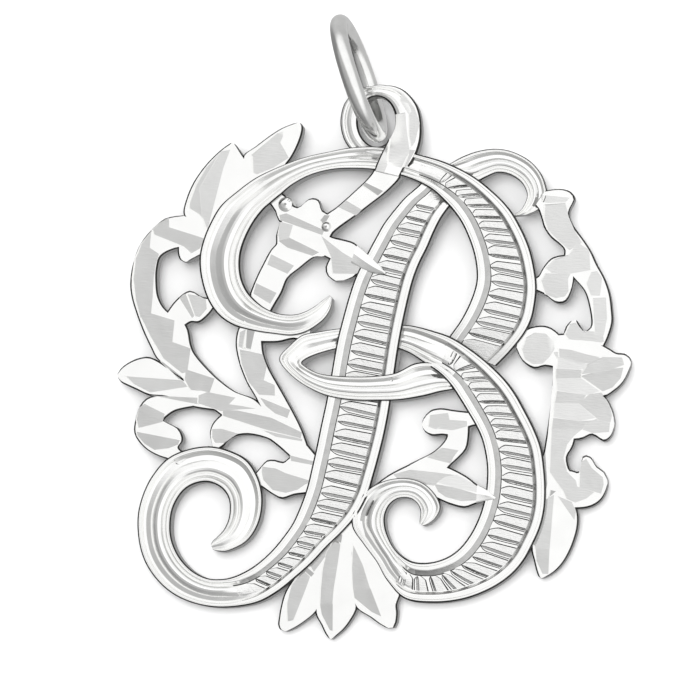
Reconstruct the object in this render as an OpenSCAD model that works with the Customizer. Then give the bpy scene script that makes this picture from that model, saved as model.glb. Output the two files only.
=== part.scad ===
/* [Plate] */
// Width of the cast plate, from the left leaf tip to the right leaf tip
plate_w = 30; // [24:0.5:40]
// Height of the cast plate, from the lowest leaf tip to the tip of the top leaf
plate_h = 30; // [24:0.5:40]
// Thickness of the leaves and ribbons at their edges
leaf_t = 0.95; // [0.8:0.05:1.2]
// Height of a leaf's crease above its edges
crease_h = 0.2; // [0.05:0.01:0.3]
// Chamfer along the top edges
edge_bevel = 0.1; // [0.05:0.01:0.15]

/* [Letter strokes] */
// Thickness of the strokes at their raised rims
stroke_t = 1.35; // [1.2:0.05:1.8]
// Width of a stroke's raised rim
rim_w = 0.56; // [0.4:0.02:0.7]
// Width of the slope between a rim and the sunk channel
slope_w = 0.2; // [0.1:0.02:0.3]
// Depth of the sunk channel below the rims
channel_depth = 0.5; // [0.3:0.05:0.7]
// Depth of the ridge line on a scroll below its rims
ridge_drop = 0.08; // [0.02:0.02:0.2]
// Height of the ribs above the channel floor
rib_h = 0.28; // [0.1:0.02:0.3]
// Distance between ribs along a stroke
rib_pitch = 0.84; // [0.7:0.02:1.2]
// Share of the pitch that a rib's foot takes
rib_fill = 0.92; // [0.7:0.02:0.96]

/* [Eye] */
// Thickness of the eye's band at its crown
eye_t = 1.3; // [1.1:0.05:1.6]
// Width of the eye's hole
eye_hole_w = 2.2; // [2:0.05:2.6]
// Length of the eye's hole
eye_hole_l = 2.9; // [2.6:0.05:3.3]

/* [Jump ring] */
// Outer diameter of the ring
ring_d = 7.8; // [7.4:0.1:9]
// Diameter of the ring's round wire
wire_d = 1; // [0.8:0.05:1.1]
// Turn of the standing ring about the vertical, in degrees
ring_turn = 17.5; // [10:0.5:25]
// Lean of the standing ring to the left, in degrees
ring_lean = 4; // [0:0.5:8]
// Gap between the ring's wire and the eye's band above it
ring_gap = 0.14; // [0.06:0.02:0.3]

/* [Hidden] */
plate_color = [0.80, 0.80, 0.79];
ring_color = [0.74, 0.74, 0.75];
PERCENT = 100;
ring_fn = 64;
wire_fn = 32;
bead_fn = 9;
// Leaf tips rise this far above the stroke that they cross
tip_lift = 0.04;
// Strokes are refined where a section turns by more than this, in degrees
turn_step = 15;

// Stroke tables. A row is one section across a stroke.
// Columns: right-hand edge x, y and left-hand edge x, y in hundredths of the plate,
// share of the full stroke thickness, and share of channel (1) against scroll ridge (0).
function right_place(row) = [row[0], row[1]];
function left_place(row) = [row[2], row[3]];
function thickness_share(row) = row[4];
function channel_share(row) = row[5];

// Main stem, then its tail, which rolls up into the lower left spiral
stem_rows = [
    [60.0, 88.9, 66.2, 84.8, 0.80, 1],
    [58.5, 87.3, 65.4, 84.1, 0.85, 1],
    [56.2, 85.2, 64.8, 83.2, 0.96, 1],
    [54.3, 83.0, 63.3, 81.0, 1.00, 1],
    [52.2, 80.3, 61.9, 78.2, 1.00, 1],
    [50.7, 77.7, 60.7, 75.4, 1.00, 1],
    [49.2, 74.9, 59.3, 72.6, 1.00, 1],
    [47.8, 72.2, 58.2, 69.8, 1.00, 1],
    [46.5, 69.4, 57.4, 67.0, 1.00, 1],
    [45.3, 65.8, 56.6, 63.6, 1.00, 1],
    [44.2, 61.8, 55.8, 59.8, 1.00, 1],
    [43.2, 57.8, 55.1, 55.9, 1.00, 1],
    [42.4, 53.6, 54.5, 51.9, 0.98, 1],
    [41.7, 49.4, 53.9, 47.8, 0.96, 1],
    [40.9, 45.2, 53.3, 43.7, 0.98, 1],
    [40.0, 41.0, 52.5, 39.5, 1.00, 1],
    [39.2, 37.0, 51.5, 35.4, 1.00, 1],
    [38.3, 33.0, 50.4, 31.4, 1.00, 1],
    [37.4, 29.2, 49.2, 27.6, 1.00, 1],
    [36.1, 25.5, 47.2, 23.9, 1.00, 1],
    [34.6, 22.2, 44.6, 20.8, 1.00, 1],
    [32.8, 19.6, 41.6, 17.9, 1.00, 1],
    [30.9, 17.3, 38.8, 14.9, 1.00, 1],
    [28.7, 15.2, 35.6, 12.0, 1.00, 1],
    [26.2, 13.4, 31.7, 8.9, 1.00, 0.8],
    [23.2, 12.0, 27.5, 6.8, 1.00, 0.3],
    [20.5, 11.5, 21.5, 6.0, 1.00, 0.0],
    [17.8, 11.8, 16.3, 6.6, 1.00, 0.0],
    [15.0, 13.3, 11.8, 8.4, 1.00, 0.0],
    [12.7, 15.8, 8.3, 11.3, 1.00, 0.0],
    [11.3, 18.8, 5.7, 15.3, 1.00, 0.0],
    [10.9, 21.8, 4.5, 20.2, 1.00, 0.0],
    [11.4, 25.2, 4.7, 25.5, 1.00, 0.0],
    [13.1, 28.2, 7.0, 31.2, 1.00, 0.0],
    [15.4, 29.8, 11.2, 35.5, 1.00, 0.0],
    [18.2, 30.2, 18.2, 37.2, 1.00, 0.0],
    [20.7, 29.1, 24.6, 35.3, 1.00, 0.0],
    [22.1, 27.2, 27.6, 31.8, 1.00, 0.0],
    [22.4, 25.0, 28.8, 27.3, 1.00, 0.0],
    [22.1, 22.9, 28.2, 22.6, 1.00, 0.0],
    [21.2, 21.0, 25.9, 18.9, 0.98, 0.0],
    [20.0, 19.7, 22.3, 17.0, 0.96, 0.0],
    [19.1, 18.9, 20.2, 16.9, 0.93, 0.0],
    [18.7, 18.2, 19.1, 17.2, 0.90, 0.0]
];

// C-scroll from its inner tip, round the left, along the top arch and down the upper bowl
arch_rows = [
    [41.6, 66.3, 42.1, 65.7, 0.90, 0.0],
    [40.3, 65.4, 41.8, 63.7, 0.93, 0.0],
    [38.6, 64.1, 40.4, 61.5, 0.97, 0.0],
    [36.4, 63.0, 37.4, 59.4, 1.00, 0.0],
    [34.2, 62.6, 34.4, 58.6, 1.00, 0.0],
    [31.5, 62.9, 31.0, 58.9, 1.00, 0.0],
    [29.0, 64.0, 27.0, 59.5, 1.00, 0.0],
    [27.0, 65.6, 23.0, 60.6, 1.00, 0.0],
    [25.6, 67.3, 20.0, 62.6, 1.00, 0.0],
    [24.6, 69.5, 17.8, 65.8, 1.00, 0.0],
    [24.2, 72.0, 16.5, 70.0, 1.00, 0.0],
    [24.4, 74.8, 16.2, 73.8, 1.00, 0.0],
    [25.3, 77.6, 16.9, 77.2, 1.00, 0.0],
    [26.8, 80.5, 18.3, 80.6, 1.00, 0.0],
    [28.7, 83.0, 20.3, 83.9, 1.00, 0.0],
    [30.5, 84.6, 23.4, 86.6, 1.00, 0.0],
    [32.2, 86.0, 27.0, 89.2, 1.00, 0.0],
    [34.5, 87.9, 31.2, 91.2, 1.00, 0.0],
    [38.0, 89.7, 36.3, 93.1, 1.00, 0.0],
    [42.0, 90.7, 41.2, 94.2, 0.98, 0.0],
    [46.0, 90.9, 45.6, 95.0, 0.94, 0.0],
    [50.5, 90.6, 50.3, 95.2, 0.90, 0.0],
    [55.0, 89.6, 54.6, 94.6, 0.92, 0.2],
    [58.5, 88.3, 58.7, 93.6, 0.96, 0.5],
    [61.5, 86.6, 64.0, 92.0, 1.00, 0.8],
    [63.8, 84.5, 69.2, 89.4, 1.00, 1],
    [65.6, 82.5, 73.4, 86.1, 1.00, 1],
    [67.2, 80.2, 76.6, 82.7, 1.00, 1],
    [68.6, 77.2, 78.9, 78.8, 1.00, 1],
    [69.6, 74.2, 80.5, 75.0, 1.00, 1],
    [70.1, 71.3, 81.4, 71.2, 1.00, 1],
    [70.1, 68.8, 81.8, 67.6, 1.00, 1],
    [69.5, 66.4, 81.5, 64.2, 1.00, 1],
    [68.4, 63.7, 80.8, 61.2, 1.00, 1],
    [66.9, 61.0, 79.3, 58.4, 0.98, 1],
    [65.0, 58.4, 76.6, 55.1, 0.92, 1],
    [63.8, 56.6, 74.0, 52.5, 0.84, 1]
];

// Lower bowl from the stem's right rim, round the right and into the curl in its counter
bowl_rows = [
    [54.3, 56.2, 54.5, 60.6, 0.82, 0.0],
    [57.2, 55.0, 57.6, 60.4, 0.90, 0.0],
    [60.2, 53.0, 61.5, 59.4, 0.98, 0.2],
    [63.2, 50.9, 65.6, 57.9, 1.03, 0.6],
    [65.3, 48.6, 70.6, 54.6, 1.03, 1],
    [67.0, 46.0, 75.0, 50.6, 1.00, 1],
    [68.6, 43.4, 77.6, 47.3, 1.00, 1],
    [70.0, 41.0, 79.7, 43.6, 1.00, 1],
    [71.1, 38.6, 81.5, 40.0, 1.00, 1],
    [71.8, 36.0, 82.8, 36.4, 1.00, 1],
    [72.2, 33.2, 83.4, 32.2, 1.00, 1],
    [72.2, 30.4, 83.6, 28.4, 1.00, 1],
    [71.9, 27.6, 83.4, 24.8, 1.00, 1],
    [71.2, 24.8, 82.6, 21.4, 1.00, 1],
    [70.2, 22.2, 81.2, 18.2, 1.00, 1],
    [68.9, 19.8, 79.4, 14.9, 1.00, 1],
    [67.2, 17.6, 76.8, 12.0, 1.00, 1],
    [65.2, 16.0, 73.0, 9.5, 1.00, 1],
    [62.8, 15.0, 68.0, 7.6, 1.00, 1],
    [60.2, 14.6, 62.4, 6.9, 1.00, 0.9],
    [57.8, 14.9, 56.6, 7.6, 1.00, 0.5],
    [55.8, 16.0, 53.0, 11.2, 1.00, 0.2],
    [54.4, 17.4, 51.0, 14.7, 1.00, 0.0],
    [53.4, 19.2, 48.4, 18.2, 1.00, 0.0],
    [52.7, 21.4, 46.2, 21.6, 1.00, 0.0],
    [52.6, 23.6, 46.6, 25.0, 1.00, 0.0],
    [53.4, 25.6, 49.0, 28.5, 1.00, 0.0],
    [54.8, 26.8, 52.5, 30.4, 1.00, 0.0],
    [56.4, 27.1, 56.4, 30.9, 1.00, 0.0],
    [57.8, 26.8, 59.8, 30.0, 1.00, 0.0],
    [58.9, 25.8, 62.2, 27.8, 0.99, 0.0],
    [59.4, 24.5, 63.3, 25.4, 0.98, 0.0],
    [59.3, 23.2, 62.5, 23.4, 0.96, 0.0],
    [59.2, 22.5, 61.0, 22.1, 0.93, 0.0],
    [59.3, 22.1, 59.9, 21.8, 0.90, 0.0]
];

// Waist loop, from behind the stem, round its left turn and back over the stem to the bowl
loop_rows = [
    [44.2, 60.0, 43.9, 56.2, 0.78, 0.0],
    [42.4, 59.8, 42.2, 55.8, 0.84, 0.0],
    [39.4, 59.3, 39.6, 55.0, 0.95, 0.0],
    [36.3, 58.6, 37.9, 54.3, 1.02, 0.0],
    [33.7, 56.4, 36.8, 53.7, 1.04, 0.0],
    [32.0, 54.5, 36.4, 53.2, 1.05, 0.0],
    [32.4, 52.8, 36.8, 52.7, 1.06, 0.0],
    [35.2, 50.0, 38.2, 51.8, 1.08, 0.0],
    [38.6, 47.9, 40.0, 51.1, 1.11, 0.0],
    [42.0, 46.6, 42.6, 50.7, 1.14, 0.0],
    [46.5, 45.9, 46.6, 50.5, 1.16, 0.0],
    [51.0, 45.8, 50.6, 50.6, 1.16, 0.0],
    [55.5, 45.9, 54.6, 51.2, 1.14, 0.0],
    [60.0, 46.6, 58.2, 53.0, 1.08, 0.0],
    [63.0, 47.4, 61.4, 53.2, 1.01, 0.0],
    [65.6, 47.9, 63.4, 52.4, 0.96, 0.0]
];

// Small scroll that springs from the upper bowl at the top right
arch_scroll_rows = [
    [67.8, 89.4, 64.7, 91.7, 0.76, 0.0],
    [70.2, 88.4, 67.2, 93.1, 0.76, 0.0],
    [71.8, 89.0, 70.3, 94.2, 0.76, 0.0],
    [74.0, 89.9, 73.8, 94.6, 0.76, 0.0],
    [76.3, 89.6, 77.0, 94.0, 0.76, 0.0],
    [78.3, 88.4, 80.2, 92.3, 0.76, 0.0],
    [79.4, 86.9, 82.3, 90.0, 0.76, 0.0],
    [79.8, 85.3, 83.3, 87.7, 0.76, 0.0],
    [79.2, 83.6, 83.6, 85.5, 0.76, 0.0],
    [78.2, 82.3, 82.2, 82.9, 0.75, 0.0],
    [76.9, 81.6, 80.0, 81.8, 0.74, 0.0]
];

// Leaf and ribbon tables. A row is one section across a leaf.
// Columns: edge x, y and facing edge x, y in hundredths of the plate,
// share of the way across at which the crease lies, and the crease's height as a share.
function crease_place(row) = row[4];
function crease_rise(row) = row[5];

// Top left leaves, root to tip
top_leaf = [
    [26.4, 87.8, 32.0, 89.8, 0.85, 0.4],
    [24.9, 91.4, 33.0, 91.9, 0.88, 1.0],
    [24.5, 93.7, 34.0, 93.2, 0.78, 1.0],
    [26.8, 95.4, 34.9, 94.8, 0.66, 1.0],
    [29.6, 97.5, 35.6, 96.4, 0.48, 1.0],
    [32.0, 99.0, 36.1, 98.0, 0.25, 0.7],
    [34.3, 99.9, 36.2, 99.3, 0.40, 0.3],
    [35.2, 100.1, 35.7, 100.0, 0.50, 0.0]
];
upper_leaf = [
    [14.5, 80.3, 18.4, 79.0, 0.75, 0.6],
    [12.9, 82.3, 20.0, 82.5, 0.65, 1.0],
    [13.3, 85.0, 23.4, 85.4, 0.58, 1.0],
    [14.8, 88.6, 26.4, 87.8, 0.44, 1.0],
    [17.2, 92.0, 26.6, 90.6, 0.37, 1.0],
    [19.8, 94.6, 24.6, 93.6, 0.37, 0.7],
    [21.5, 95.9, 23.7, 94.9, 0.40, 0.3],
    [22.2, 96.3, 22.8, 96.1, 0.50, 0.0]
];

// Faceted frame ribbon down the left side and across to the stem
frame_ribbon = [
    [12.8, 82.2, 18.2, 79.0, 0.30, 0.2],
    [9.3, 81.6, 15.6, 76.2, 0.65, 1.0],
    [6.4, 79.2, 11.6, 75.7, 0.35, -0.4],
    [4.2, 76.2, 8.7, 74.3, 0.65, 1.0],
    [2.9, 72.3, 7.9, 72.0, 0.50, -0.2],
    [2.5, 69.0, 7.8, 69.3, 0.45, 0.3],
    [2.8, 66.3, 8.2, 66.2, 0.50, -0.2],
    [3.8, 63.0, 9.8, 63.6, 0.35, 1.0],
    [5.2, 59.4, 13.6, 60.8, 0.70, -0.4],
    [6.6, 56.5, 14.6, 57.0, 0.35, 1.0],
    [7.8, 54.3, 15.5, 55.0, 0.70, -0.4],
    [10.4, 52.1, 17.7, 52.4, 0.35, 1.0],
    [13.2, 50.0, 20.2, 50.0, 0.65, -0.3],
    [16.2, 47.2, 23.3, 47.8, 0.40, 0.8],
    [20.2, 43.4, 27.0, 46.4, 0.50, 0.6],
    [25.0, 41.2, 29.6, 44.2, 0.50, 0.5],
    [30.0, 38.4, 33.5, 42.0, 0.50, 0.5],
    [34.5, 34.5, 37.0, 38.0, 0.50, 0.6],
    [37.0, 31.0, 40.4, 34.0, 0.50, 0.6]
];
left_leaf = [
    [18.5, 48.0, 19.6, 44.1, 0.50, 0.3],
    [12.5, 50.5, 14.8, 44.9, 0.50, 0.6],
    [9.6, 52.9, 10.0, 46.7, 0.55, 1.0],
    [6.6, 54.6, 6.5, 47.1, 0.55, 1.0],
    [4.2, 54.4, 4.0, 48.2, 0.55, 1.0],
    [2.0, 53.4, 2.0, 49.1, 0.50, 0.7],
    [0.7, 52.3, 0.9, 49.7, 0.50, 0.3],
    [0.1, 51.3, 0.2, 50.7, 0.50, 0.0]
];
left_lobe = [
    [14.0, 47.6, 15.6, 44.9, 0.50, 0.3],
    [10.0, 47.2, 12.0, 44.2, 0.50, 0.8],
    [6.5, 46.9, 10.2, 43.2, 0.40, 0.0],
    [4.6, 45.2, 9.3, 42.2, 0.60, 0.9],
    [3.6, 42.0, 10.3, 41.7, 0.40, 0.0],
    [3.5, 39.9, 12.2, 40.7, 0.60, 0.9],
    [4.4, 38.2, 13.0, 39.3, 0.50, 0.3],
    [6.0, 36.6, 13.0, 38.2, 0.50, 0.9],
    [8.2, 35.4, 12.3, 37.2, 0.50, 0.5],
    [10.2, 34.7, 12.9, 36.4, 0.50, 0.3],
    [12.0, 33.5, 14.5, 35.5, 0.50, 0.0]
];
hanging_lobe = [
    [11.8, 77.2, 18.0, 78.2, 0.50, 0.0],
    [11.8, 74.8, 17.2, 75.2, 0.50, 0.4],
    [12.3, 73.5, 14.8, 73.7, 0.50, 0.3],
    [13.2, 73.1, 13.8, 73.15, 0.50, 0.0]
];
scroll_lobe = [
    [9.6, 63.2, 13.4, 60.6, 0.50, 0.2],
    [11.6, 65.8, 14.6, 61.3, 0.30, 0.9],
    [14.2, 67.5, 16.2, 61.3, 0.70, 0.9],
    [16.6, 66.3, 18.0, 62.8, 0.50, 0.3],
    [18.8, 66.0, 19.0, 64.2, 0.50, 0.0]
];

// Ribbon from the C-scroll down to the stem, between the two tall holes
waist_ribbon = [
    [24.6, 61.6, 29.4, 61.0, 0.50, 0.0],
    [23.6, 59.8, 28.6, 58.8, 0.50, 0.4],
    [23.2, 57.4, 28.6, 56.6, 0.30, -0.4],
    [23.5, 55.0, 29.0, 54.4, 0.70, 0.8],
    [24.3, 52.2, 30.1, 51.8, 0.40, 0.0],
    [25.5, 49.4, 31.7, 49.0, 0.60, 0.9],
    [27.0, 46.9, 33.3, 46.2, 0.40, 0.1],
    [28.5, 44.0, 34.9, 43.3, 0.60, 1.0],
    [30.5, 41.0, 36.3, 40.5, 0.60, 0.3],
    [32.5, 37.5, 37.3, 37.9, 0.50, 1.0],
    [34.0, 35.0, 38.1, 35.8, 0.50, 0.4],
    [36.3, 31.5, 40.4, 33.0, 0.50, 0.4]
];
scroll_link = [
    [28.0, 60.5, 28.0, 57.3, 0.50, 0.2],
    [31.5, 60.0, 31.5, 57.3, 0.50, 0.5],
    [34.5, 60.2, 34.6, 57.9, 0.50, 0.5],
    [38.0, 60.8, 37.4, 57.2, 0.50, 0.2]
];
small_leaf = [
    [31.5, 42.0, 33.6, 35.6, 0.50, 0.3],
    [28.5, 43.0, 30.6, 38.2, 0.50, 0.8],
    [25.0, 44.0, 26.6, 39.4, 0.50, 0.4],
    [22.0, 44.0, 23.5, 39.2, 0.50, 0.9],
    [20.4, 43.3, 21.8, 38.2, 0.50, 0.5],
    [18.8, 41.6, 21.2, 37.4, 0.50, 0.8],
    [18.3, 39.6, 20.2, 36.7, 0.50, 0.3],
    [18.8, 37.6, 19.4, 36.2, 0.50, 0.0]
];
root_leaf = [
    [39.6, 33.5, 39.2, 28.5, 0.50, 0.3],
    [36.6, 35.9, 37.1, 28.0, 0.45, 1.0],
    [34.2, 35.3, 34.8, 27.7, 0.45, 1.0],
    [32.7, 34.2, 32.6, 27.0, 0.45, 0.8],
    [31.0, 34.6, 31.2, 27.5, 0.45, 1.0],
    [29.5, 34.5, 29.8, 28.4, 0.45, 0.8],
    [28.4, 33.4, 28.7, 29.2, 0.50, 0.4],
    [27.2, 32.0, 28.0, 29.6, 0.50, 0.0]
];

// Fan of three leaves under the stem, root to tip
fan_left = [
    [40.0, 19.8, 45.6, 20.6, 0.50, 0.0],
    [38.2, 15.2, 43.0, 15.4, 0.60, 0.5],
    [35.4, 12.4, 40.8, 12.0, 0.62, 1.0],
    [33.2, 9.2, 40.3, 9.0, 0.52, 1.0],
    [32.3, 6.4, 39.9, 6.4, 0.46, 1.0],
    [31.9, 4.0, 38.8, 4.8, 0.42, 1.0],
    [31.8, 2.7, 36.2, 2.8, 0.42, 0.7],
    [32.2, 1.8, 34.4, 1.8, 0.45, 0.3],
    [33.0, 1.5, 33.5, 1.5, 0.50, 0.0]
];
fan_middle = [
    [42.8, 20.5, 46.2, 21.5, 0.45, 0.3],
    [41.0, 16.0, 46.4, 16.5, 0.42, 0.8],
    [40.2, 12.0, 46.4, 12.0, 0.41, 1.1],
    [39.3, 8.0, 46.8, 8.0, 0.43, 1.1],
    [39.0, 5.0, 47.1, 5.7, 0.40, 1.1],
    [40.1, 2.8, 45.3, 2.6, 0.42, 1.0],
    [40.9, 1.1, 43.9, 1.2, 0.42, 0.6],
    [41.5, 0.3, 42.9, 0.4, 0.45, 0.3],
    [41.9, 0.0, 42.3, 0.0, 0.50, 0.0]
];
fan_right = [
    [43.6, 23.6, 49.2, 22.4, 0.35, 0.0],
    [45.8, 16.5, 51.6, 17.0, 0.20, 0.7],
    [45.9, 12.5, 54.0, 12.2, 0.30, 1.0],
    [45.9, 8.8, 55.6, 9.2, 0.38, 1.0],
    [46.9, 6.0, 54.9, 6.7, 0.42, 1.0],
    [49.6, 4.2, 55.0, 5.0, 0.42, 1.0],
    [51.4, 2.9, 54.8, 3.2, 0.45, 0.7],
    [52.9, 2.1, 54.3, 2.2, 0.50, 0.2]
];

// Diamond-cut ribbon that runs down from the eye to the flower
eye_ribbon = [
    [50.4, 92.6, 56.4, 91.6, 0.50, 0.5],
    [49.9, 90.5, 55.2, 89.1, 0.50, 0.5],
    [48.5, 88.7, 53.8, 87.5, 0.60, 1.0],
    [46.5, 86.8, 51.9, 85.8, 0.35, -0.3],
    [44.5, 85.0, 49.4, 83.9, 0.65, 1.0],
    [42.6, 83.4, 46.8, 81.9, 0.35, -0.3],
    [40.8, 82.2, 44.0, 79.9, 0.60, 0.9],
    [38.8, 80.4, 42.2, 78.4, 0.50, 0.3],
    [37.8, 78.4, 41.4, 76.6, 0.50, 0.2]
];
flower_leaf = [
    [41.6, 82.2, 41.2, 78.4, 0.50, 0.4],
    [40.0, 83.0, 39.6, 79.0, 0.50, 0.9],
    [39.3, 85.0, 37.5, 80.0, 0.55, 0.9],
    [37.5, 85.2, 35.5, 80.5, 0.55, 0.9],
    [35.4, 83.6, 33.6, 80.6, 0.50, 0.4],
    [33.5, 84.8, 31.6, 80.8, 0.50, 0.8],
    [32.8, 85.9, 30.9, 82.6, 0.50, 0.4],
    [31.6, 86.6, 29.8, 84.2, 0.50, 0.0]
];
cross_ribbon = [
    [32.6, 82.6, 41.6, 79.4, 0.50, 0.3],
    [31.7, 80.4, 41.4, 77.0, 0.30, -0.3],
    [31.0, 78.0, 41.0, 75.2, 0.65, 1.0],
    [31.0, 76.5, 40.8, 73.9, 0.40, 0.8],
    [29.9, 75.2, 38.6, 73.8, 0.30, -0.3],
    [28.6, 72.8, 35.8, 71.7, 0.65, 1.0],
    [27.4, 70.4, 33.5, 69.8, 0.35, -0.3],
    [26.4, 68.0, 32.3, 67.0, 0.65, 1.0],
    [26.0, 66.3, 30.9, 64.6, 0.40, 0.0],
    [27.2, 63.6, 29.8, 62.6, 0.50, 0.0]
];
stem_leaf = [
    [39.6, 79.0, 39.6, 74.4, 0.50, 0.3],
    [42.0, 77.8, 41.6, 73.3, 0.45, 1.0],
    [44.4, 77.2, 43.6, 72.4, 0.45, 1.0],
    [46.4, 76.5, 45.6, 71.4, 0.45, 0.8],
    [48.2, 74.7, 47.4, 70.2, 0.50, 0.5],
    [50.4, 73.2, 49.4, 69.6, 0.50, 0.0]
];
stem_lobe = [
    [41.7, 74.0, 46.6, 73.2, 0.50, 0.3],
    [40.7, 71.9, 47.2, 71.2, 0.50, 0.4],
    [41.1, 70.2, 46.4, 70.0, 0.50, 0.4],
    [42.4, 69.2, 44.6, 69.3, 0.50, 0.2]
];

// Scrolls and leaves down the right side
right_scroll = [
    [83.4, 86.4, 81.4, 83.4, 0.50, 0.0],
    [86.2, 86.7, 82.0, 82.6, 0.60, 0.4],
    [88.3, 86.1, 82.3, 81.8, 0.50, 0.8],
    [89.1, 84.7, 82.6, 80.9, 0.50, 0.8],
    [88.3, 83.1, 82.8, 80.1, 0.50, 0.3],
    [88.0, 81.5, 83.1, 79.2, 0.45, 0.2],
    [88.9, 79.4, 84.2, 77.5, 0.45, 0.8],
    [90.8, 76.8, 86.0, 76.0, 0.45, 0.3],
    [92.3, 74.4, 87.0, 74.7, 0.45, 0.8],
    [93.4, 72.0, 86.8, 72.0, 0.50, 0.3],
    [94.9, 69.2, 88.6, 69.6, 0.55, 0.9],
    [95.9, 66.2, 90.8, 67.0, 0.45, 0.1],
    [96.3, 63.3, 91.8, 63.9, 0.45, 0.5],
    [96.4, 60.8, 92.2, 60.4, 0.50, 0.5],
    [95.6, 58.0, 91.0, 59.0, 0.50, 0.8],
    [94.8, 56.3, 88.0, 56.8, 0.50, 0.3]
];
scroll_end = [
    [88.2, 74.0, 88.9, 70.2, 0.50, 0.3],
    [86.0, 73.8, 88.6, 67.4, 0.50, 0.8],
    [84.4, 73.2, 87.4, 64.9, 0.50, 0.5],
    [83.0, 71.6, 85.4, 64.7, 0.50, 0.8],
    [82.1, 70.0, 83.2, 66.3, 0.50, 0.4],
    [81.0, 69.4, 81.0, 67.2, 0.50, 0.0]
];
round_lobe = [
    [78.2, 57.6, 77.8, 55.8, 0.50, 0.0],
    [79.8, 59.6, 79.0, 53.4, 0.50, 0.5],
    [82.4, 60.3, 81.2, 52.0, 0.50, 0.7],
    [84.6, 59.8, 83.3, 52.4, 0.50, 0.6],
    [86.6, 58.1, 85.4, 52.0, 0.50, 0.2]
];
small_lobe = [
    [86.6, 57.4, 91.4, 58.4, 0.50, 0.2],
    [87.3, 60.0, 90.3, 59.9, 0.50, 0.5],
    [88.3, 61.1, 89.5, 61.2, 0.50, 0.1]
];
right_leaf = [
    [85.0, 58.6, 84.8, 48.0, 0.50, 0.3],
    [90.0, 58.6, 90.0, 47.6, 0.40, 0.9],
    [95.0, 56.2, 94.3, 46.4, 0.35, 0.2],
    [97.0, 55.0, 96.6, 47.5, 0.45, 1.0],
    [98.6, 54.8, 98.3, 49.1, 0.50, 0.7],
    [99.6, 54.1, 99.4, 51.2, 0.50, 0.3],
    [99.9, 53.2, 99.8, 52.4, 0.50, 0.0]
];
right_lobe = [
    [84.8, 49.0, 83.8, 38.0, 0.50, 0.3],
    [90.0, 48.5, 89.8, 38.2, 0.40, 0.8],
    [93.2, 47.4, 92.4, 39.1, 0.50, 0.1],
    [95.2, 46.2, 94.6, 37.9, 0.50, 1.0],
    [96.4, 43.6, 96.0, 38.8, 0.50, 0.5],
    [96.75, 41.6, 96.6, 40.4, 0.50, 0.0]
];
lower_lobe = [
    [85.0, 33.0, 85.4, 24.6, 0.50, 0.2],
    [88.6, 32.4, 88.9, 24.9, 0.50, 0.9],
    [90.0, 32.2, 90.8, 25.0, 0.50, 0.4],
    [90.6, 35.0, 92.4, 25.4, 0.40, 0.4],
    [92.0, 35.0, 93.6, 26.1, 0.50, 0.9],
    [93.2, 33.2, 94.5, 27.1, 0.50, 0.7],
    [94.6, 32.2, 95.1, 28.4, 0.50, 0.4],
    [95.35, 30.6, 95.4, 29.6, 0.50, 0.0]
];
right_spine = [
    [84.9, 52.0, 90.0, 52.0, 0.50, 0.4],
    [84.6, 47.0, 89.8, 47.0, 0.50, 0.4],
    [84.0, 42.0, 89.6, 41.0, 0.50, 0.4],
    [83.3, 37.3, 88.9, 37.2, 0.50, 0.4],
    [82.9, 34.6, 87.7, 35.0, 0.50, 0.4],
    [82.7, 32.4, 88.1, 32.6, 0.50, 0.4],
    [82.6, 30.5, 89.2, 31.0, 0.50, 0.4],
    [82.4, 27.0, 89.4, 27.5, 0.50, 0.4]
];
drop_leaf = [
    [83.2, 29.5, 87.0, 28.0, 0.45, 0.2],
    [82.4, 26.0, 89.4, 25.2, 0.40, 0.9],
    [81.4, 21.5, 89.8, 22.0, 0.38, 1.0],
    [80.7, 17.6, 88.8, 18.2, 0.40, 1.0],
    [81.2, 15.0, 87.2, 15.0, 0.45, 0.9],
    [81.7, 13.0, 85.4, 13.0, 0.48, 0.6],
    [82.1, 12.0, 83.8, 12.0, 0.50, 0.2],
    [82.5, 11.7, 83.0, 11.7, 0.50, 0.0]
];

// Ornament in the lower counter
counter_lobe = [
    [70.4, 43.6, 70.2, 41.0, 0.50, 0.0],
    [68.0, 43.8, 68.6, 40.6, 0.50, 0.4],
    [65.6, 44.1, 66.2, 39.0, 0.45, 0.9],
    [63.2, 44.45, 63.6, 39.2, 0.45, 0.9],
    [61.2, 44.0, 61.6, 39.1, 0.50, 0.6],
    [59.9, 42.6, 60.2, 39.8, 0.50, 0.2],
    [59.6, 41.6, 59.65, 40.8, 0.50, 0.0]
];
counter_ribbon = [
    [63.9, 41.0, 68.8, 41.4, 0.50, 0.3],
    [64.3, 39.0, 68.7, 38.8, 0.50, 0.6],
    [63.2, 37.3, 68.2, 36.5, 0.40, 0.9],
    [61.4, 35.8, 66.6, 34.7, 0.50, 0.1],
    [59.0, 34.6, 65.0, 33.2, 0.50, 0.8],
    [57.0, 33.6, 63.0, 30.6, 0.50, 0.3]
];
counter_leaf = [
    [49.4, 28.8, 50.4, 26.8, 0.50, 0.0],
    [52.8, 31.4, 53.5, 28.5, 0.50, 0.2],
    [56.4, 33.3, 57.0, 29.0, 0.50, 0.4],
    [59.5, 34.6, 60.5, 28.0, 0.50, 0.9],
    [62.8, 33.8, 63.3, 26.6, 0.45, 0.3],
    [65.6, 32.7, 65.2, 25.8, 0.45, 1.0],
    [68.2, 31.3, 67.8, 25.2, 0.50, 0.8],
    [70.4, 29.6, 70.0, 25.9, 0.50, 0.5],
    [73.0, 28.4, 72.8, 26.6, 0.50, 0.0]
];

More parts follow.
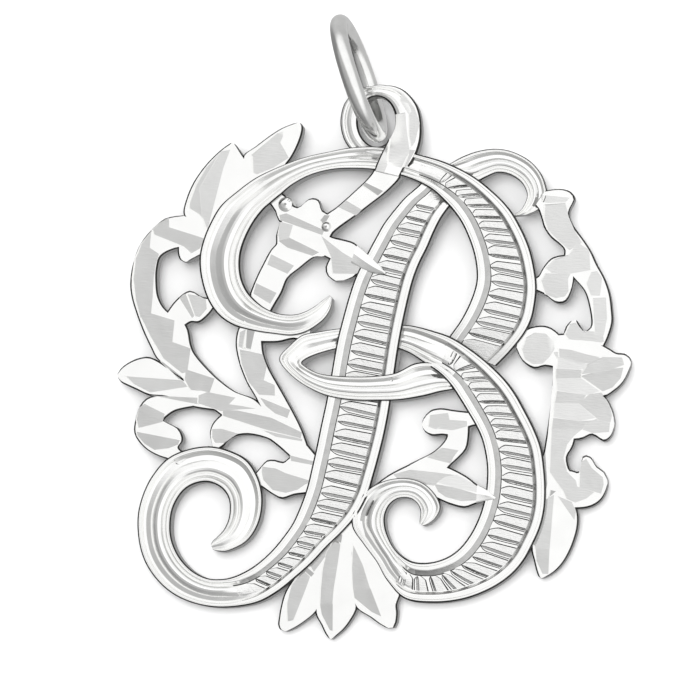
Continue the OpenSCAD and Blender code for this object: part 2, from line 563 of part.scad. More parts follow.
// Leaf tips that lie over a stroke's rim, and the eye's root across the top arch
stem_tip = [
    [47.0, 76.0, 45.8, 72.6, 0.50, 0.2],
    [49.0, 74.3, 47.8, 71.4, 0.50, 0.3],
    [51.0, 72.4, 50.0, 70.6, 0.50, 0.3],
    [52.6, 70.8, 52.4, 70.3, 0.50, 0.0]
];
bowl_tip = [
    [70.4, 29.6, 70.2, 26.0, 0.50, 0.2],
    [72.3, 28.6, 72.1, 26.4, 0.50, 0.2],
    [74.0, 27.2, 73.9, 26.8, 0.50, 0.0]
];
eye_root = [
    [53.0, 96.6, 58.5, 97.0, 0.50, 0.0],
    [51.9, 94.4, 57.7, 94.2, 0.45, 0.4],
    [50.9, 92.3, 56.5, 91.8, 0.40, 0.5],
    [50.2, 90.5, 55.3, 89.3, 0.40, 0.5]
];

LEAVES = [
    top_leaf, upper_leaf, frame_ribbon, left_leaf, left_lobe, hanging_lobe, scroll_lobe,
    waist_ribbon, scroll_link, small_leaf, root_leaf, fan_left, fan_middle, fan_right, eye_ribbon,
    flower_leaf, cross_ribbon, stem_leaf, stem_lobe, right_scroll, scroll_end,
    round_lobe, small_lobe, right_leaf, right_lobe, lower_lobe, right_spine, drop_leaf,
    counter_lobe, counter_ribbon, counter_leaf
];

// Small beads at the flower: x and y in hundredths, and diameter as a share of bead_d
bead_d = 0.8;
bead_h = 0.3;
beads = [
    [32.9, 84.1, 1.0],
    [40.9, 79.7, 0.7]
];

// Eye's band, clockwise from its lower left root to the ribbon below it.
// Columns: angle round the hole in degrees, band width as a share of eye_band_w,
// and share of the eye's thickness at the crown.
eye_center = [50.6, 100.1];
eye_band_w = 1.15;
eye_rows = [
    [300, 0.90, 0.80],
    [276, 0.75, 0.80],
    [254, 0.75, 0.80],
    [230, 0.82, 0.84],
    [206, 0.88, 0.88],
    [180, 0.90, 0.92],
    [155, 0.88, 0.95],
    [128, 0.74, 0.98],
    [100, 0.56, 1.00],
    [72, 0.66, 1.00],
    [45, 0.98, 1.00],
    [18, 1.22, 1.00],
    [-8, 1.35, 1.02],
    [-32, 1.55, 1.06],
    [-52, 1.75, 1.10]
];

// Placing a table's hundredths on the plate, in millimetres
function on_plate(x, y) = [x * plate_w / PERCENT, y * plate_h / PERCENT];
function right_edge(row) = on_plate(right_place(row).x, right_place(row).y);
function left_edge(row) = on_plate(left_place(row).x, left_place(row).y);
function mix(a, b, share) = a + (b - a) * share;
function across(row, share) = mix(right_edge(row), left_edge(row), share);
function span(row) = norm(left_edge(row) - right_edge(row));

// A section is a closed list of [share across, height] turned into points in space
function lift(row, outline) = [
    for (p = outline) [across(row, p[0]).x, across(row, p[0]).y, p[1]]
];

// Positive where the first edge lies to the right of the way the rows run
function handed(rows) =
    let (
        way = across(rows[1], 0.5) - across(rows[0], 0.5),
        side = right_edge(rows[0]) - left_edge(rows[0])
    )
    way.y * side.x - way.x * side.y;
function forward(rows) =
    handed(rows) > 0 ? rows : [for (i = [len(rows) - 1:-1:0]) rows[i]];

// Solid through a list of sections with equal numbers of points
module loft(sections) {
    n = len(sections);
    m = len(sections[0]);
    points = [for (s = sections) for (p = s) p];
    sides = [
        for (i = [0:n - 2]) for (j = [0:m - 1])
            let (a = i * m + j, b = i * m + (j + 1) % m, c = b + m, d = a + m)
            each [[a, b, c], [a, c, d]]
    ];
    start = [[for (j = [m - 1:-1:0]) j]];
    end = [[for (j = [0:m - 1]) (n - 1) * m + j]];
    polyhedron(points = points, faces = concat(start, end, sides));
}

// Widths across a stroke, kept in proportion where the stroke runs out to a point
ridge_place = 0.4;
rim_limit = 0.2;
slope_limit = 0.09;
full_span = 1.9;
function rim_of(row) = min(rim_w / span(row), rim_limit);
function slope_of(row) = min(slope_w / span(row), slope_limit);
function bevel_of(row) = min(edge_bevel, span(row) / 6) / span(row);
function top_of(row) = stroke_t * thickness_share(row);
function depth_of(row) = channel_depth * min(1, span(row) / full_span);
function floor_of(row) = top_of(row) - depth_of(row);

function stroke_section(row) =
    let (
        top = top_of(row),
        shoulder = top - edge_bevel,
        rim = rim_of(row),
        foot = rim + slope_of(row),
        bevel = bevel_of(row),
        floor_z = floor_of(row),
        ridge_z = mix(top - ridge_drop, floor_z, channel_share(row)),
        middle = mix(ridge_place, 0.5, channel_share(row))
    )
    lift(row, [
        [0, 0],
        [0, shoulder],
        [bevel, top],
        [rim, top],
        [foot, floor_z],
        [middle, ridge_z],
        [1 - foot, floor_z],
        [1 - rim, top],
        [1 - bevel, top],
        [1, shoulder],
        [1, 0]
    ]);

// Curve through the rows of a stroke, with extra rows where it turns
function curve(a, b, c, d, t) =
    b
    + (c - a) * t / 2
    + (a - 2.5 * b + 2 * c - d / 2) * pow(t, 2)
    + (1.5 * b - a / 2 - 1.5 * c + d / 2) * pow(t, 3);
function way(rows, i) =
    let (step = across(rows[i + 1], 0.5) - across(rows[i], 0.5))
    step / norm(step);
function turn(rows, i) =
    let (
        last = len(rows) - 2,
        from = way(rows, max(i - 1, 0)),
        to = way(rows, min(i + 1, last))
    )
    acos(max(-1, min(1, from * to))) / 2;
function refined(rows) = concat(
    [
        for (i = [0:len(rows) - 2])
            let (
                before = rows[max(i - 1, 0)],
                after = rows[min(i + 2, len(rows) - 1)],
                steps = max(1, ceil(turn(rows, i) / turn_step))
            )
            for (j = [0:steps - 1]) curve(before, rows[i], rows[i + 1], after, j / steps)
    ],
    [rows[len(rows) - 1]]
);

module stroke(rows) {
    loft([for (row = refined(rows)) stroke_section(row)]);
}

// Distance along the middle of a stroke up to each row
function run_of(rows) = [
    for (i = 0, s = 0; i < len(rows);
         i = i + 1,
         s = i < len(rows) ? s + norm(across(rows[i], 0.5) - across(rows[i - 1], 0.5)) : s)
        s
];
function row_at(rows, run, s) = [
    for (column = [0:5]) lookup(s, [for (i = [0:len(rows) - 1]) [run[i], rows[i][column]]])
];

// A rib is a bar across the channel, pointed at its right-hand end and blunt at the other.
// It lies near the horizontal of the plate, and square to the stroke where that runs level.
rib_point = 0.3;
rib_crown = 0.5;
rib_sink = 0.06;
rib_tilt = -10;
rib_follow = 0.3;
level_from = 45;
level_over = 20;
function rib_angle(square) =
    mix(rib_tilt + rib_follow * square, square,
        max(0, min(1, (abs(square) - level_from) / level_over)));
function rib_shear(row) =
    let (
        way_across = left_edge(row) - right_edge(row),
        square = atan2(way_across.y, way_across.x)
    )
    span(row) * tan(square - rib_angle(square));
function rib_spot(rows, run, s, share, z) =
    let (shear = rib_shear(row_at(rows, run, s)))
    concat(across(row_at(rows, run, s + (share - 0.5) * shear), share), z);
function rib_outline(rows, run, s, half, from, z) =
    let (
        middle = row_at(rows, run, s),
        foot = rim_of(middle) + slope_of(middle),
        tip = foot + from,
        shoulder = mix(tip, 1 - foot, rib_point)
    )
    [
        rib_spot(rows, run, s, tip, z),
        rib_spot(rows, run, s - half, shoulder, z),
        rib_spot(rows, run, s - half, 1 - foot, z),
        rib_spot(rows, run, s + half, 1 - foot, z),
        rib_spot(rows, run, s + half, shoulder, z)
    ];

module rib(rows, run, s) {
    half = rib_pitch * rib_fill / 2;
    floor_z = floor_of(row_at(rows, run, s));
    low = rib_outline(rows, run, s, half, 0, floor_z - rib_sink);
    high = rib_outline(rows, run, s, half * rib_crown, 0.05, floor_z + rib_h);
    hull()
        polyhedron(points = concat(low, high), faces = [[0, 1, 2], [7, 6, 5], [3, 4, 8], [9, 5, 0]]);
}

// Ribs between two rows of a stroke
module ribs(rows, first, last) {
    run = run_of(rows);
    count = floor((run[last] - run[first]) / rib_pitch);
    for (k = [0:count - 1])
        rib(rows, run, run[first] + (k + 0.5) * rib_pitch);
}

function leaf_section(row, edge_z, rise) =
    let (
        bevel = bevel_of(row),
        shoulder = edge_z - edge_bevel,
        crease = max(bevel + 0.02, min(1 - bevel - 0.02, crease_place(row)))
    )
    lift(row, [
        [0, 0],
        [0, shoulder],
        [bevel, edge_z],
        [crease, edge_z + rise * crease_rise(row)],
        [1 - bevel, edge_z],
        [1, shoulder],
        [1, 0]
    ]);

module leaf(rows, edge_z) {
    loft([for (row = forward(rows)) leaf_section(row, edge_z, crease_h)]);
}

// The eye's band round its hole, in millimetres from the eye's middle
function eye_point(angle, out) =
    on_plate(eye_center.x, eye_center.y)
    + [(eye_hole_w / 2 + out) * cos(angle), (eye_hole_l / 2 + out) * sin(angle)];
eye_edge = 0.8;
eye_rows_halved = concat(
    [for (i = [0:len(eye_rows) - 2]) for (t = [0, 0.5]) mix(eye_rows[i], eye_rows[i + 1], t)],
    [eye_rows[len(eye_rows) - 1]]
);
module eye() {
    loft([
        for (row = eye_rows_halved)
            let (
                inner = eye_point(row[0], 0),
                outer = eye_point(row[0], eye_band_w * row[1]),
                crown = eye_t * row[2],
                side = crown * eye_edge
            )
            [
                for (p = [[0, 0], [0, side], [0.3, crown], [0.7, crown], [1, side], [1, 0]])
                    concat(mix(inner, outer, p[0]), p[1])
            ]
    ]);
}

// A low bead with a flat crown
module bead(row) {
    middle = on_plate(row[0], row[1]);
    foot = bead_d * row[2];
    translate([middle.x, middle.y, 0])
        cylinder(h = leaf_t + bead_h, d1 = foot * 1.3, d2 = foot * 0.7, $fn = bead_fn);
}

module casting() {
    stroke(stem_rows);
    stroke(arch_rows);
    stroke(bowl_rows);
    stroke(loop_rows);
    ribs(stem_rows, 2, 24);
    ribs(arch_rows, 24, 36);
    ribs(bowl_rows, 4, 20);
    stroke(arch_scroll_rows);
    for (rows = LEAVES)
        leaf(rows, leaf_t);
    for (rows = [stem_tip, bowl_tip])
        leaf(rows, stroke_t + tip_lift);
    leaf(eye_root, eye_t);
    for (row = beads)
        bead(row);
    eye();
}

// The ring stands on its wire, and the eye lies over the wire at the ring's foot
ring_r = (ring_d - wire_d) / 2;
ring_center = [47.7, 107.4];
ring_foot = on_plate(ring_center.x, ring_center.y);
ring_z = ring_r * cos(ring_lean) + wire_d / 2;
band_y = eye_point(90, 0).y;
band_run = (band_y - ring_foot.y) / cos(ring_turn);
bore_r = ring_r - wire_d / 2 - ring_gap;
band_z = ring_z - sqrt(pow(bore_r, 2) - pow(band_run, 2)) * cos(ring_lean);
lie_tilt = asin(band_z / band_y);

// Middle of the whole pendant, where its origin lies
ring_reach = ring_r * sqrt(1 - pow(sin(ring_turn) * cos(ring_lean), 2)) + wire_d / 2;
mid_x = plate_w / 2;
tip_y = -(leaf_t - edge_bevel) * sin(lie_tilt);
mid_y = (ring_foot.y + ring_reach + tip_y) / 2;

module initial_plate() {
    color(plate_color)
        translate([-mid_x, -mid_y, 0])
            rotate([lie_tilt, 0, 0])
                casting();
}

module jump_ring() {
    color(ring_color)
        translate([ring_foot.x - mid_x, ring_foot.y - mid_y, ring_z])
            rotate([0, 90 - ring_lean, ring_turn])
                rotate_extrude($fn = ring_fn)
                    translate([ring_r, 0])
                        circle(d = wire_d, $fn = wire_fn);
}

initial_plate();
jump_ring();
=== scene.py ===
"""Initial pendant of bright-cut silver with its jump ring, lying face up on a pale table."""
import math

import bmesh
import bpy
import numpy as np
from mathutils import Matrix


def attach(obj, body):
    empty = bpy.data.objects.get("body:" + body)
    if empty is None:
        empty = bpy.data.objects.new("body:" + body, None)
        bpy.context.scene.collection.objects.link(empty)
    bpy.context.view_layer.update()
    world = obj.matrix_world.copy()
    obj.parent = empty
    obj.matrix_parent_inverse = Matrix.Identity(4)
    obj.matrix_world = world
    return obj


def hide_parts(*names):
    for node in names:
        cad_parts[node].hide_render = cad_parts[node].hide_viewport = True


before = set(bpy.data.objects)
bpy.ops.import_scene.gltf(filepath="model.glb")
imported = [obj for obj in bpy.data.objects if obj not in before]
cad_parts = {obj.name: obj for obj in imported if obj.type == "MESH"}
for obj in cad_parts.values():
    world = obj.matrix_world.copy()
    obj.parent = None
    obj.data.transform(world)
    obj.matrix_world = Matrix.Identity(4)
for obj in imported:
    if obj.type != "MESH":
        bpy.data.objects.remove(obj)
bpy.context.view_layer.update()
MM = 0.001
BODY = "root"

# Named sizes in millimetres: those that the part has too are the same here
PLATE_W = 30.0
PLATE_H = 30.0
LEAF_T = 0.95
LEAF_TOP = 1.05
CREASE_H = 0.2
EDGE_BEVEL = 0.1
STROKE_T = 1.35
RIM_W = 0.56
RIM_WIDE_W = 0.49
SLOPE_W = 0.2
SLOPE_WIDE_W = 0.34
RIB_PITCH = 0.84
EYE_T = 1.3
EYE_HOLE_W = 2.2
EYE_HOLE_L = 2.9
EYE_BAND_W = 1.15
RING_D = 7.8
WIRE_D = 1.0
RING_TURN = math.radians(17.5)
RING_LEAN = math.radians(4)
RING_GAP = 0.14
TIP_LIFT = 0.04
RIM_LIMIT = 0.2
SLOPE_LIMIT = 0.09
SLOPE_WIDE_LIMIT = 0.13
MARGIN_W = 0.1
LINE_W = 0.03
LINE_DROP = 0.035
FULL_SPAN = 1.9
FLOOR_DROP = 0.22
CUT_DROP = 0.15
CUT_OVER = 0.05
LEDGE_DROP = 0.06
BEAD_D = 0.8
BEAD_H = 0.3
STROKE_STEP = 0.18
LEAF_STEP = 0.3
FACET_OVER = 0.3
EYE_SHAVE = 0.1
SLIVER = 0.0002

# Angles of the cuts between the ribs, in degrees, and the width of their grooves in rib pitches
RIB_TILT = -10.0
RIB_FOLLOW = 0.3
LEVEL_FROM = 45.0
LEVEL_OVER = 20.0
GROOVE_W = 0.33

# Growth of each bright cut past its corners, in hundredths of the plate, and where edges show sharp
FACET_GROW = 0.3
SHARP = math.radians(10)

# The light tent: its axis, place along it (-1 to 1) with the brightness there, and how it darkens
# towards the table: from this height, to this one, brightness at the lower of the two
TENT_AXIS = (0.8, 0.6, 0.0)
TENT_TURN = math.atan2(TENT_AXIS[1], TENT_AXIS[0]) + math.pi
TENT_SIDE = ((-1.0, 0.36), (-0.37, 0.46), (-0.11, 0.92), (0.10, 1.0), (1.0, 0.95))
TENT_LOW = (-0.05, 0.5, 0.52)
TENT_STRENGTH = 1.14

# Camera above and a little to the lower right, far off, as the photograph has it
CAMERA_SIDE = (0.12, -0.12, 1.0)
CAMERA_FAR = 338.62
CAMERA_AIM = (-1.413, -1.211, 1.0)
CAMERA_ROLL = 0.0085

# Material slots of the casting; the edge line, cut and side slots hold silver darkened as painted shade
BRIGHT = 0
SATIN = 1
SHADE_LINE = 2
CUT = 3
SIDE = 4

# Tables in hundredths of the plate, as in the part.
# Strokes: right-hand edge x, y, left-hand edge x, y, share of the thickness, channel share.
# Leaves: edge x, y, facing edge x, y, share across of the middle line. Their faces are cut flat,
# and where they run on over a stroke or the eye a last share lifts the middle line.
STEM_ROWS = [
    (60.0, 88.9, 66.2, 84.8, 0.8, 1), (58.5, 87.3, 65.4, 84.1, 0.85, 1), (56.2, 85.2, 64.8, 83.2, 0.96, 1),
    (54.3, 83.0, 63.3, 81.0, 1, 1), (52.2, 80.3, 61.9, 78.2, 1, 1), (50.7, 77.7, 60.7, 75.4, 1, 1),
    (49.2, 74.9, 59.3, 72.6, 1, 1), (47.8, 72.2, 58.2, 69.8, 1, 1), (46.5, 69.4, 57.4, 67.0, 1, 1),
    (45.3, 65.8, 56.6, 63.6, 1, 1), (44.2, 61.8, 55.8, 59.8, 1, 1), (43.2, 57.8, 55.1, 55.9, 1, 1),
    (42.4, 53.6, 54.5, 51.9, 0.98, 1), (41.7, 49.4, 53.9, 47.8, 0.96, 1), (40.9, 45.2, 53.3, 43.7, 0.98, 1),
    (40.0, 41.0, 52.5, 39.5, 1, 1), (39.2, 37.0, 51.5, 35.4, 1, 1), (38.3, 33.0, 50.4, 31.4, 1, 1),
    (37.4, 29.2, 49.2, 27.6, 1, 1), (36.1, 25.5, 47.2, 23.9, 1, 1), (34.6, 22.2, 44.6, 20.8, 1, 1),
    (32.8, 19.6, 41.6, 17.9, 1, 1), (30.9, 17.3, 38.8, 14.9, 1, 1), (28.7, 15.2, 35.6, 12.0, 1, 1),
    (26.2, 13.4, 31.7, 8.9, 1, 1), (23.2, 12.0, 27.5, 6.8, 1, 0.7), (20.5, 11.5, 21.5, 6.0, 1, 0),
    (17.8, 11.8, 16.3, 6.6, 1, 0), (15.0, 13.3, 11.8, 8.4, 1, 0), (12.7, 15.8, 8.3, 11.3, 1, 0),
    (11.3, 18.8, 5.7, 15.3, 1, 0), (10.9, 21.8, 4.5, 20.2, 1, 0), (11.4, 25.2, 4.7, 25.5, 1, 0),
    (13.1, 28.2, 7.0, 31.2, 1, 0), (15.4, 29.8, 11.2, 35.5, 1, 0), (18.2, 30.2, 18.2, 37.2, 1, 0),
    (20.7, 29.1, 24.6, 35.3, 1, 0), (22.1, 27.2, 27.6, 31.8, 1, 0), (22.4, 25.0, 28.8, 27.3, 1, 0),
    (22.1, 22.9, 28.2, 22.6, 1, 0), (21.2, 21.0, 25.9, 18.9, 0.98, 0), (20.0, 19.7, 22.3, 17.0, 0.96, 0),
    (19.1, 18.9, 20.2, 16.9, 0.93, 0), (18.7, 18.2, 19.1, 17.2, 0.9, 0),
]
ARCH_ROWS = [
    (41.6, 66.3, 42.1, 65.7, 0.9, 0), (40.3, 65.4, 41.8, 63.7, 0.93, 0),
    (38.6, 64.1, 40.4, 61.5, 0.97, 0), (36.4, 63.0, 37.4, 59.4, 1, 0),
    (34.2, 62.6, 34.4, 58.6, 1, 0), (31.5, 62.9, 31.0, 58.9, 1, 0),
    (29.0, 64.0, 27.0, 59.5, 1, 0), (27.0, 65.6, 23.0, 60.6, 1, 0),
    (25.6, 67.3, 20.0, 62.6, 1, 0), (24.6, 69.5, 17.8, 65.8, 1, 0),
    (24.2, 72.0, 16.5, 70.0, 1, 0), (24.4, 74.8, 16.2, 73.8, 1, 0),
    (25.3, 77.6, 16.9, 77.2, 1, 0), (26.8, 80.5, 18.3, 80.6, 1, 0),
    (28.7, 83.0, 20.3, 83.9, 1, 0), (30.5, 84.6, 23.4, 86.6, 1, 0),
    (32.2, 86.0, 27.0, 89.2, 1, 0), (34.5, 87.9, 31.2, 91.2, 1, 0),
    (38.0, 89.7, 36.3, 93.1, 1, 0), (42.0, 90.7, 41.2, 94.2, 0.98, 0),
    (46.0, 90.9, 45.6, 95.0, 0.94, 0), (50.5, 90.6, 50.3, 95.2, 0.9, 0),
    (55.0, 89.6, 54.6, 94.6, 0.92, 0.2), (58.5, 88.3, 58.7, 93.6, 0.96, 0.5),
    (61.5, 86.6, 64.0, 92.0, 1, 0.8), (63.8, 84.5, 69.2, 89.4, 1, 1),
    (65.6, 82.5, 73.4, 86.1, 1, 1), (67.2, 80.2, 76.6, 82.7, 1, 1),
    (68.6, 77.2, 78.9, 78.8, 1, 1), (69.6, 74.2, 80.5, 75.0, 1, 1),
    (70.1, 71.3, 81.4, 71.2, 1, 1), (70.1, 68.8, 81.8, 67.6, 1, 1),
    (69.5, 66.4, 81.5, 64.2, 1, 1), (68.4, 63.7, 80.8, 61.2, 1, 1),
    (66.9, 61.0, 79.3, 58.4, 0.98, 1), (65.0, 58.4, 76.6, 55.1, 0.92, 1),
    (63.8, 56.6, 74.0, 52.5, 0.84, 1),
]
BOWL_ROWS = [
    (54.3, 56.2, 54.5, 60.6, 0.82, 0), (57.2, 55.0, 57.6, 60.4, 0.9, 0),
    (60.2, 53.0, 61.5, 59.4, 0.98, 0.2), (63.2, 50.9, 65.6, 57.9, 1.03, 0.6),
    (65.3, 48.6, 70.6, 54.6, 1.03, 1), (67.0, 46.0, 75.0, 50.6, 1, 1),
    (68.6, 43.4, 77.6, 47.3, 1, 1), (70.0, 41.0, 79.7, 43.6, 1, 1),
    (71.1, 38.6, 81.5, 40.0, 1, 1), (71.8, 36.0, 82.8, 36.4, 1, 1),
    (72.2, 33.2, 83.4, 32.2, 1, 1), (72.2, 30.4, 83.6, 28.4, 1, 1),
    (71.9, 27.6, 83.4, 24.8, 1, 1), (71.2, 24.8, 82.6, 21.4, 1, 1),
    (70.2, 22.2, 81.2, 18.2, 1, 1), (68.9, 19.8, 79.4, 14.9, 1, 1),
    (67.2, 17.6, 76.8, 12.0, 1, 1), (65.2, 16.0, 73.0, 9.5, 1, 1),
    (62.8, 15.0, 68.0, 7.6, 1, 1), (60.2, 14.6, 62.4, 6.9, 1, 1),
    (57.8, 14.9, 56.6, 7.6, 1, 0.8), (55.8, 16.0, 53.0, 11.2, 1, 0.2),
    (54.4, 17.4, 51.0, 14.7, 1, 0), (53.4, 19.2, 48.4, 18.2, 1, 0),
    (52.7, 21.4, 46.2, 21.6, 1, 0), (52.6, 23.6, 46.6, 25.0, 1, 0),
    (53.4, 25.6, 49.0, 28.5, 1, 0), (54.8, 26.8, 52.5, 30.4, 1, 0),
    (56.4, 27.1, 56.4, 30.9, 1, 0), (57.8, 26.8, 59.8, 30.0, 1, 0),
    (58.9, 25.8, 62.2, 27.8, 0.99, 0), (59.4, 24.5, 63.3, 25.4, 0.98, 0),
    (59.3, 23.2, 62.5, 23.4, 0.96, 0), (59.2, 22.5, 61.0, 22.1, 0.93, 0),
    (59.3, 22.1, 59.9, 21.8, 0.9, 0),
]
LOOP_ROWS = [
    (44.2, 60.0, 43.9, 56.2, 0.78, 0), (42.4, 59.8, 42.2, 55.8, 0.84, 0), (39.4, 59.3, 39.6, 55.0, 0.95, 0),
    (36.3, 58.6, 37.9, 54.3, 1.02, 0), (33.7, 56.4, 36.8, 53.7, 1.04, 0), (32.0, 54.5, 36.4, 53.2, 1.05, 0),
    (32.4, 52.8, 36.8, 52.7, 1.06, 0), (35.2, 50.0, 38.2, 51.8, 1.08, 0), (38.6, 47.9, 40.0, 51.1, 1.11, 0),
    (42.0, 46.6, 42.6, 50.7, 1.14, 0), (46.5, 45.9, 46.6, 50.5, 1.16, 0), (51.0, 45.8, 50.6, 50.6, 1.16, 0),
    (55.5, 45.9, 54.6, 51.2, 1.14, 0), (60.0, 46.6, 58.2, 53.0, 1.08, 0), (63.0, 47.4, 61.4, 53.2, 1.01, 0),
    (65.6, 47.9, 63.4, 52.4, 0.96, 0),
]
ARCH_SCROLL_ROWS = [
    (67.8, 89.4, 64.7, 91.7, 0.76, 0), (70.2, 88.4, 67.2, 93.1, 0.76, 0), (71.8, 89.0, 70.3, 94.2, 0.76, 0),
    (74.0, 89.9, 73.8, 94.6, 0.76, 0), (76.3, 89.6, 77.0, 94.0, 0.76, 0), (78.3, 88.4, 80.2, 92.3, 0.76, 0),
    (79.4, 86.9, 82.3, 90.0, 0.76, 0), (79.8, 85.3, 83.3, 87.7, 0.76, 0), (79.2, 83.6, 83.6, 85.5, 0.76, 0),
    (78.2, 82.3, 82.2, 82.9, 0.75, 0), (76.9, 81.6, 80.0, 81.8, 0.74, 0),
]
TOP_LEAF = [
    (26.4, 87.8, 32.0, 89.8, 0.85), (24.9, 91.4, 33.0, 91.9, 0.88), (24.5, 93.7, 34.0, 93.2, 0.78),
    (26.8, 95.4, 34.9, 94.8, 0.66), (29.6, 97.5, 35.6, 96.4, 0.48), (32.0, 99.0, 36.1, 98.0, 0.25),
    (34.3, 99.9, 36.2, 99.3, 0.4), (35.2, 100.1, 35.7, 100.0, 0.5),
]
UPPER_LEAF = [
    (14.5, 80.3, 18.4, 79.0, 0.75), (12.9, 82.3, 20.0, 82.5, 0.65), (13.3, 85.0, 23.4, 85.4, 0.58),
    (14.8, 88.6, 26.4, 87.8, 0.44), (17.2, 92.0, 26.6, 90.6, 0.37), (19.8, 94.6, 24.6, 93.6, 0.37),
    (21.5, 95.9, 23.7, 94.9, 0.4), (22.2, 96.3, 22.8, 96.1, 0.5),
]
FRAME_RIBBON = [
    (12.8, 82.2, 18.2, 79.0, 0.3), (9.3, 81.6, 15.6, 76.2, 0.65), (6.4, 79.2, 11.6, 75.7, 0.35),
    (4.2, 76.2, 8.7, 74.3, 0.65), (2.9, 72.3, 7.9, 72.0, 0.5), (2.5, 69.0, 7.8, 69.3, 0.45),
    (2.8, 66.3, 8.2, 66.2, 0.5), (3.8, 63.0, 9.8, 63.6, 0.35), (5.2, 59.4, 13.6, 60.8, 0.7),
    (6.6, 56.5, 14.6, 57.0, 0.35), (7.8, 54.3, 15.5, 55.0, 0.7), (10.4, 52.1, 17.7, 52.4, 0.35),
    (13.2, 50.0, 20.2, 50.0, 0.65), (16.2, 47.2, 23.3, 47.8, 0.4), (20.2, 43.4, 27.0, 46.4, 0.5),
    (25.0, 41.2, 29.6, 44.2, 0.5), (30.0, 38.4, 33.5, 42.0, 0.5), (34.5, 34.5, 37.0, 38.0, 0.5),
    (37.0, 31.0, 40.4, 34.0, 0.5),
]
LEFT_LEAF = [
    (18.5, 48.0, 19.6, 44.1, 0.5), (12.5, 50.5, 14.8, 44.9, 0.5), (9.6, 52.9, 10.0, 46.7, 0.55),
    (6.6, 54.6, 6.5, 47.1, 0.55), (4.2, 54.4, 4.0, 48.2, 0.55), (2.0, 53.4, 2.0, 49.1, 0.5),
    (0.7, 52.3, 0.9, 49.7, 0.5), (0.1, 51.3, 0.2, 50.7, 0.5),
]
LEFT_LOBE = [
    (14.0, 47.6, 15.6, 44.9, 0.5), (10.0, 47.2, 12.0, 44.2, 0.5), (6.5, 46.9, 10.2, 43.2, 0.4),
    (4.6, 45.2, 9.3, 42.2, 0.6), (3.6, 42.0, 10.3, 41.7, 0.4), (3.5, 39.9, 12.2, 40.7, 0.6),
    (4.4, 38.2, 13.0, 39.3, 0.5), (6.0, 36.6, 13.0, 38.2, 0.5), (8.2, 35.4, 12.3, 37.2, 0.5),
    (10.2, 34.7, 12.9, 36.4, 0.5), (12.0, 33.5, 14.5, 35.5, 0.5),
]
HANGING_LOBE = [
    (11.8, 77.2, 18.0, 78.2, 0.5), (11.8, 74.8, 17.2, 75.2, 0.5), (12.3, 73.5, 14.8, 73.7, 0.5),
    (13.2, 73.1, 13.8, 73.15, 0.5),
]
SCROLL_LOBE = [
    (9.6, 63.2, 13.4, 60.6, 0.5), (11.6, 65.8, 14.6, 61.3, 0.3), (14.2, 67.5, 16.2, 61.3, 0.7),
    (16.6, 66.3, 18.0, 62.8, 0.5), (18.8, 66.0, 19.0, 64.2, 0.5),
]
WAIST_RIBBON = [
    (24.6, 61.6, 29.4, 61.0, 0.5), (23.6, 59.8, 28.6, 58.8, 0.5), (23.2, 57.4, 28.6, 56.6, 0.3),
    (23.5, 55.0, 29.0, 54.4, 0.7), (24.3, 52.2, 30.1, 51.8, 0.4), (25.5, 49.4, 31.7, 49.0, 0.6),
    (27.0, 46.9, 33.3, 46.2, 0.4), (28.5, 44.0, 34.9, 43.3, 0.6), (30.5, 41.0, 36.3, 40.5, 0.6),
    (32.5, 37.5, 37.3, 37.9, 0.5), (34.0, 35.0, 38.1, 35.8, 0.5), (36.3, 31.5, 40.4, 33.0, 0.5),
]
SCROLL_LINK = [
    (28.0, 60.5, 28.0, 57.3, 0.5), (31.5, 60.0, 31.5, 57.3, 0.5), (34.5, 60.2, 34.6, 57.9, 0.5),
    (38.0, 60.8, 37.4, 57.2, 0.5),
]
SMALL_LEAF = [
    (31.5, 42.0, 33.6, 35.6, 0.5), (28.5, 43.0, 30.6, 38.2, 0.5), (25.0, 44.0, 26.6, 39.4, 0.5),
    (22.0, 44.0, 23.5, 39.2, 0.5), (20.4, 43.3, 21.8, 38.2, 0.5), (18.8, 41.6, 21.2, 37.4, 0.5),
    (18.3, 39.6, 20.2, 36.7, 0.5), (18.8, 37.6, 19.4, 36.2, 0.5),
]
ROOT_LEAF = [
    (39.6, 33.5, 39.2, 28.5, 0.5), (36.6, 35.9, 37.1, 28.0, 0.45), (34.2, 35.3, 34.8, 27.7, 0.45),
    (32.7, 34.2, 32.6, 27.0, 0.45), (31.0, 34.6, 31.2, 27.5, 0.45), (29.5, 34.5, 29.8, 28.4, 0.45),
    (28.4, 33.4, 28.7, 29.2, 0.5), (27.2, 32.0, 28.0, 29.6, 0.5),
]
FAN_LEFT = [
    (40.0, 19.8, 45.6, 20.6, 0.5), (38.2, 15.2, 43.0, 15.4, 0.6), (35.4, 12.4, 40.8, 12.0, 0.62),
    (33.2, 9.2, 40.3, 9.0, 0.52), (32.3, 6.4, 39.9, 6.4, 0.46), (31.9, 4.0, 38.8, 4.8, 0.42),
    (31.8, 2.7, 36.2, 2.8, 0.42), (32.2, 1.8, 34.4, 1.8, 0.45), (33.0, 1.5, 33.5, 1.5, 0.5),
]
FAN_MIDDLE = [
    (42.8, 20.5, 46.2, 21.5, 0.45), (41.0, 16.0, 46.4, 16.5, 0.42), (40.2, 12.0, 46.4, 12.0, 0.41),
    (39.3, 8.0, 46.8, 8.0, 0.43), (39.0, 5.0, 47.1, 5.7, 0.4), (40.1, 2.8, 45.3, 2.6, 0.42),
    (40.9, 1.1, 43.9, 1.2, 0.42), (41.5, 0.3, 42.9, 0.4, 0.45), (41.9, 0.0, 42.3, 0.0, 0.5),
]
